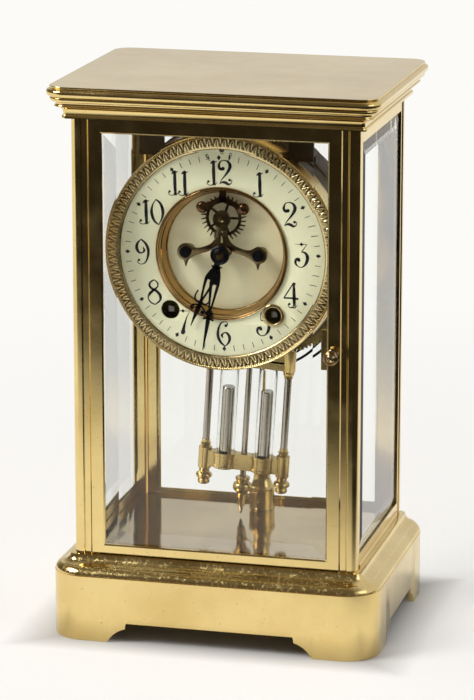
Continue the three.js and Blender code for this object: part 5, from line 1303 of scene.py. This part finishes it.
# %% [markdown]
# ## Gong
#
# The hours are struck on a flat coil of hardened wire, blued black, held at its inner end by a
# block on a turned column. The coil is one path whose radius shrinks steadily with the angle. The
# last three quarters of a turn curl inwards to the block: there the radius has a squared term too,
# which starts from nothing, so that the wire leaves the spiral without a kink.

# %% Gong and column
gong_radius, gong_pitch, gong_turns, gong_curl = 40.0, 3.8, 5.0, 0.75
gong_end, wire_radius, floor_top = 3.95, 0.65, 42.5
turn = np.linspace(0, gong_turns + gong_curl, 460)
extra = np.clip((turn - gong_turns) / gong_curl, 0, 1)
curl_radius = gong_radius - gong_pitch * gong_turns
slope = gong_pitch * gong_curl
curled = curl_radius - slope * extra - (curl_radius - gong_end - slope) * extra ** 2
coil_radius = np.where(turn > gong_turns, curled, gong_radius - gong_pitch * turn)
coil_angle = np.pi + turn * 2 * np.pi
coil = np.column_stack([
    coil_radius * np.cos(coil_angle), coil_radius * np.sin(coil_angle), np.zeros_like(turn),
])
gong_place = (np.array([1.6, 34.6, 154.0]), dial_axes)
build("gong_coil_fine", [pipe(coil, wire_radius)], gong_place, black_steel, "gong_coil")

column = smooth([
    (0, 0), (6.27, 0), (6.27, 0.6), (6.0, 0.9), (6.27, 1.2), (6.27, 8.6), (6.6, 8.9), (6.6, 11.0),
    (5.7, 11.5), (5.5, 12.0), (4.9, 13.4), (4.36, 14.9), (4.1, 17), (3.96, 19.7), (3.4, 20.8),
    (2.64, 21.6), (1.6, 22.8), (1.2, 24), (1.2, 110), (0, 110),
], 1)
column_shape = moved(turned(column, 48), 1.6, 37.4, floor_top)
block = prism([(-1.4, 33.3), (4.6, 33.3), (4.6, 38.6), (-1.4, 38.6)], 151, 157)
build("gong_column_fine", [column_shape, block], plain, movement_brass, "gong_column", sharp=35)
wire_length = np.linalg.norm(np.diff(coil, axis=0), axis=1).sum()
print("gong wire", round(wire_length), "mm long")

# %% [markdown]
# ## Latch knobs
#
# Each door is kept shut by a small turned knob through its stile, with a finger behind it.

# %% Knobs
knob = turned([
    (0, -9.2), (1.0, -9.2), (1.0, 0.3), (3.2, 0.3), (3.2, 0.75), (2.9, 1.05), (2.55, 1.15),
    (2.4, 1.45), (1.75, 1.7), (1.6, 2.1), (1.65, 2.7), (2.6, 3.3), (3.2, 3.9), (3.6, 4.7),
    (3.6, 5.4), (3.3, 6.0), (2.7, 6.35), (2.4, 6.2), (2.1, 6.4), (1.8, 6.9), (1.2, 7.2),
    (0.9, 7.0), (0.5, 7.2), (0, 7.3),
], 40)
finger = prism([(-1.2, -7), (1.2, -7), (1.2, 1.2), (-1.2, 1.2)], -9.4, -8.4)
knob_x, knob_height, door_face = 57.0, 145.0, 51.8
for end, sy in (("front", -1), ("back", 1)):
    spot = np.array([-sy * knob_x, sy * door_face, knob_height])
    place = (spot, np.array([[-sy, 0, 0], [0, 0, 1], [0, sy, 0]]))
    name = f"{end}_latch_knob"
    build(f"{name}_fine", [knob, finger], place, knob_brass, name, sharp=35)
print("knobs done at", knob_height, "mm")

# %% [markdown]
# ## Floor, world and lamps
#
# White paper runs under the clock and far behind it. Seen directly it is white with a soft shadow.
# Polished brass shows more of it: to the front and right the paper ends about a third of a metre
# away and the room past it is dark brown, which is what the upper half of every upright face
# reflects. Faces that look up see a pale wall behind the clock and a dim room in front of it.
#
# The Light Path node tells these looks apart. Its glossy mark is set behind glass as well as by a
# mirror, so the depths are used instead, which count reflections only. A straight look, through
# glass or not, has no mirror and no rough surface before it. A look by way of a mirror has a
# mirror and no rough surface before it. What is left lights the clock.

# %% Floor
paper_colour, paper_roughness = (0.5, 0.49, 0.475), 0.9
paper_start, paper_end = 0.13, 0.47
white_start, white_end = 0.16, 0.7
lift_colour, lift_start, lift_end, lift_strength = (1, 0.975, 0.94, 1), 0.9, 1.25, 0.56
foot_x, foot_y, floor_half = 0.0796, 0.0629, 6.0
room_colour = (0.02, 0.016, 0.011, 1)
white_colour = (0.975, 0.965, 0.935, 1)


def path_kind(tree):
    """Two 0-or-1 values: a straight look, through glass or not, and a look by way of a mirror."""
    path = add_node(tree, "ShaderNodeLightPath")
    unmirrored = calculated(tree, "LESS_THAN", path.outputs["Glossy Depth"], 0.5)
    unscattered = calculated(tree, "LESS_THAN", path.outputs["Diffuse Depth"], 0.5)
    seen = calculated(
        tree, "MAXIMUM", path.outputs["Is Camera Ray"], path.outputs["Is Transmission Ray"],
    )
    plain_look = calculated(tree, "MULTIPLY", unmirrored, unscattered)
    straight_look = calculated(tree, "MULTIPLY", seen, plain_look)
    return straight_look, calculated(tree, "GREATER_THAN", unscattered, unmirrored)


def floor_finish():
    """Paper: shaded near the clock, white far off, and dark past a slanted edge in mirrors.

    The paper's own shade near the clock is lifted by a weak glow outside the foot, so that it
    stays dark under the clock. Outside is max(|x| / half width, |y| / half depth) above 1.
    """
    material, tree, shader = new_material("paper", paper_colour, 0.0, paper_roughness)
    place = add_node(tree, "ShaderNodeTexCoord")
    axes = add_node(tree, "ShaderNodeSeparateXYZ", {"Vector": place.outputs["Object"]})
    slant = calculated(tree, "SUBTRACT", axes.outputs["X"], axes.outputs["Y"])
    edge = add_node(tree, "ShaderNodeMapRange", {
        "Value": slant, "From Min": paper_start, "From Max": paper_end,
    }, interpolation_type="SMOOTHERSTEP")
    _, by_mirror = path_kind(tree)
    mirrored = calculated(tree, "MULTIPLY", edge.outputs["Result"], by_mirror)
    length = add_node(tree, "ShaderNodeVectorMath", {
        0: place.outputs["Object"],
    }, operation="LENGTH")
    far = span(tree, length.outputs["Value"], white_start, white_end, 0, 1)
    shares = []
    for axis, half in (("X", foot_x), ("Y", foot_y)):
        off = calculated(tree, "ABSOLUTE", axes.outputs[axis])
        shares.append(calculated(tree, "DIVIDE", off, half))
    outside = calculated(tree, "MAXIMUM", *shares)
    lift = add_node(tree, "ShaderNodeEmission", {
        "Color": lift_colour,
        "Strength": span(tree, outside, lift_start, lift_end, 0, lift_strength),
    })
    near = add_node(tree, "ShaderNodeAddShader", {0: shader.outputs[0], 1: lift.outputs[0]})
    white = add_node(tree, "ShaderNodeEmission", {"Color": white_colour, "Strength": 1.0})
    paper = add_node(tree, "ShaderNodeMixShader", {0: far, 1: near.outputs[0], 2: white.outputs[0]})
    room = add_node(tree, "ShaderNodeEmission", {"Color": room_colour, "Strength": 1.0})
    mix = add_node(tree, "ShaderNodeMixShader", {
        0: mirrored, 1: paper.outputs[0], 2: room.outputs[0],
    })
    tree.links.new(mix.outputs[0], tree.nodes["Material Output"].inputs["Surface"])
    return material


floor_mesh = bpy.data.meshes.new("floor")
floor_corners = [(-1, -1), (1, -1), (1, 1), (-1, 1)]
corner_points = [(x * floor_half, y * floor_half, 0) for x, y in floor_corners]
floor_mesh.from_pydata(corner_points, [], [(0, 1, 2, 3)])
floor_mesh.materials.append(floor_finish())
floor = bpy.data.objects.new("floor", floor_mesh)
bpy.context.collection.objects.link(floor)
print("floor", 2 * floor_half, "m wide")

# %% [markdown]
# The world is three pictures in one: white behind the clock for a straight look, the mirrored room
# for polished metal, and an even weak light for everything else. The mirrored room is a ramp over
# the direction's share towards the wall, which is their dot product.

# %% World
ambient_colour, ambient_strength = (0.95, 0.97, 1.0, 1), 0.3
wall_direction = (0.6, 0.8, 0)
room_stops = [
    (0.0, (0.1, 0.08, 0.06)), (0.4, (0.14, 0.12, 0.09)), (0.56, (0.34, 0.32, 0.3)),
    (0.72, (0.72, 0.72, 0.74)),
]
world = bpy.data.worlds.new("world")
bpy.context.scene.world = world
world.use_nodes = True
sky = world.node_tree
straight, by_mirror = path_kind(sky)
ambient = sky.nodes["Background"]
ambient.inputs["Color"].default_value = ambient_colour
ambient.inputs["Strength"].default_value = ambient_strength
direction = add_node(sky, "ShaderNodeTexCoord")
toward_wall = add_node(sky, "ShaderNodeVectorMath", {
    0: direction.outputs["Generated"], 1: wall_direction,
}, operation="DOT_PRODUCT")
around = ramp(sky, span(sky, toward_wall.outputs["Value"], -1, 1, 0, 1), room_stops)
mirrored_room = add_node(sky, "ShaderNodeBackground", {"Color": around, "Strength": 1.0})
lit_or_mirrored = add_node(sky, "ShaderNodeMixShader", {
    0: by_mirror, 1: ambient.outputs[0], 2: mirrored_room.outputs[0],
})
backdrop = add_node(sky, "ShaderNodeBackground", {"Color": white_colour, "Strength": 1.0})
sky_mix = add_node(sky, "ShaderNodeMixShader", {
    0: straight, 1: lit_or_mirrored.outputs[0], 2: backdrop.outputs[0],
})
sky.links.new(sky_mix.outputs[0], sky.nodes["World Output"].inputs["Surface"])
print("world nodes:", len(sky.nodes))

# %% [markdown]
# A large soft lamp at the upper left gives the shadow its direction. A weak one at the right keeps
# the shaded side from going black.

# %% Lamps
def lamp(name, position, aim, size, power, colour=(1, 1, 1)):
    """A square area lamp at a position, aimed at a point."""
    data = bpy.data.lights.new(name, "AREA")
    data.size = size
    data.energy = power
    data.color = colour
    lit = bpy.data.objects.new(name, data)
    lit.location = position
    lit.rotation_euler = (Vector(position) - Vector(aim)).to_track_quat("Z", "Y").to_euler()
    bpy.context.collection.objects.link(lit)
    return lit


middle = (0, 0, 0.13)
lamp("key", (-1.6, -1.05, 1.75), middle, 1.0, 45, (1, 0.98, 0.95))
lamp("fill", (1.9, -0.9, 1.1), middle, 1.2, 6, (0.95, 0.97, 1))
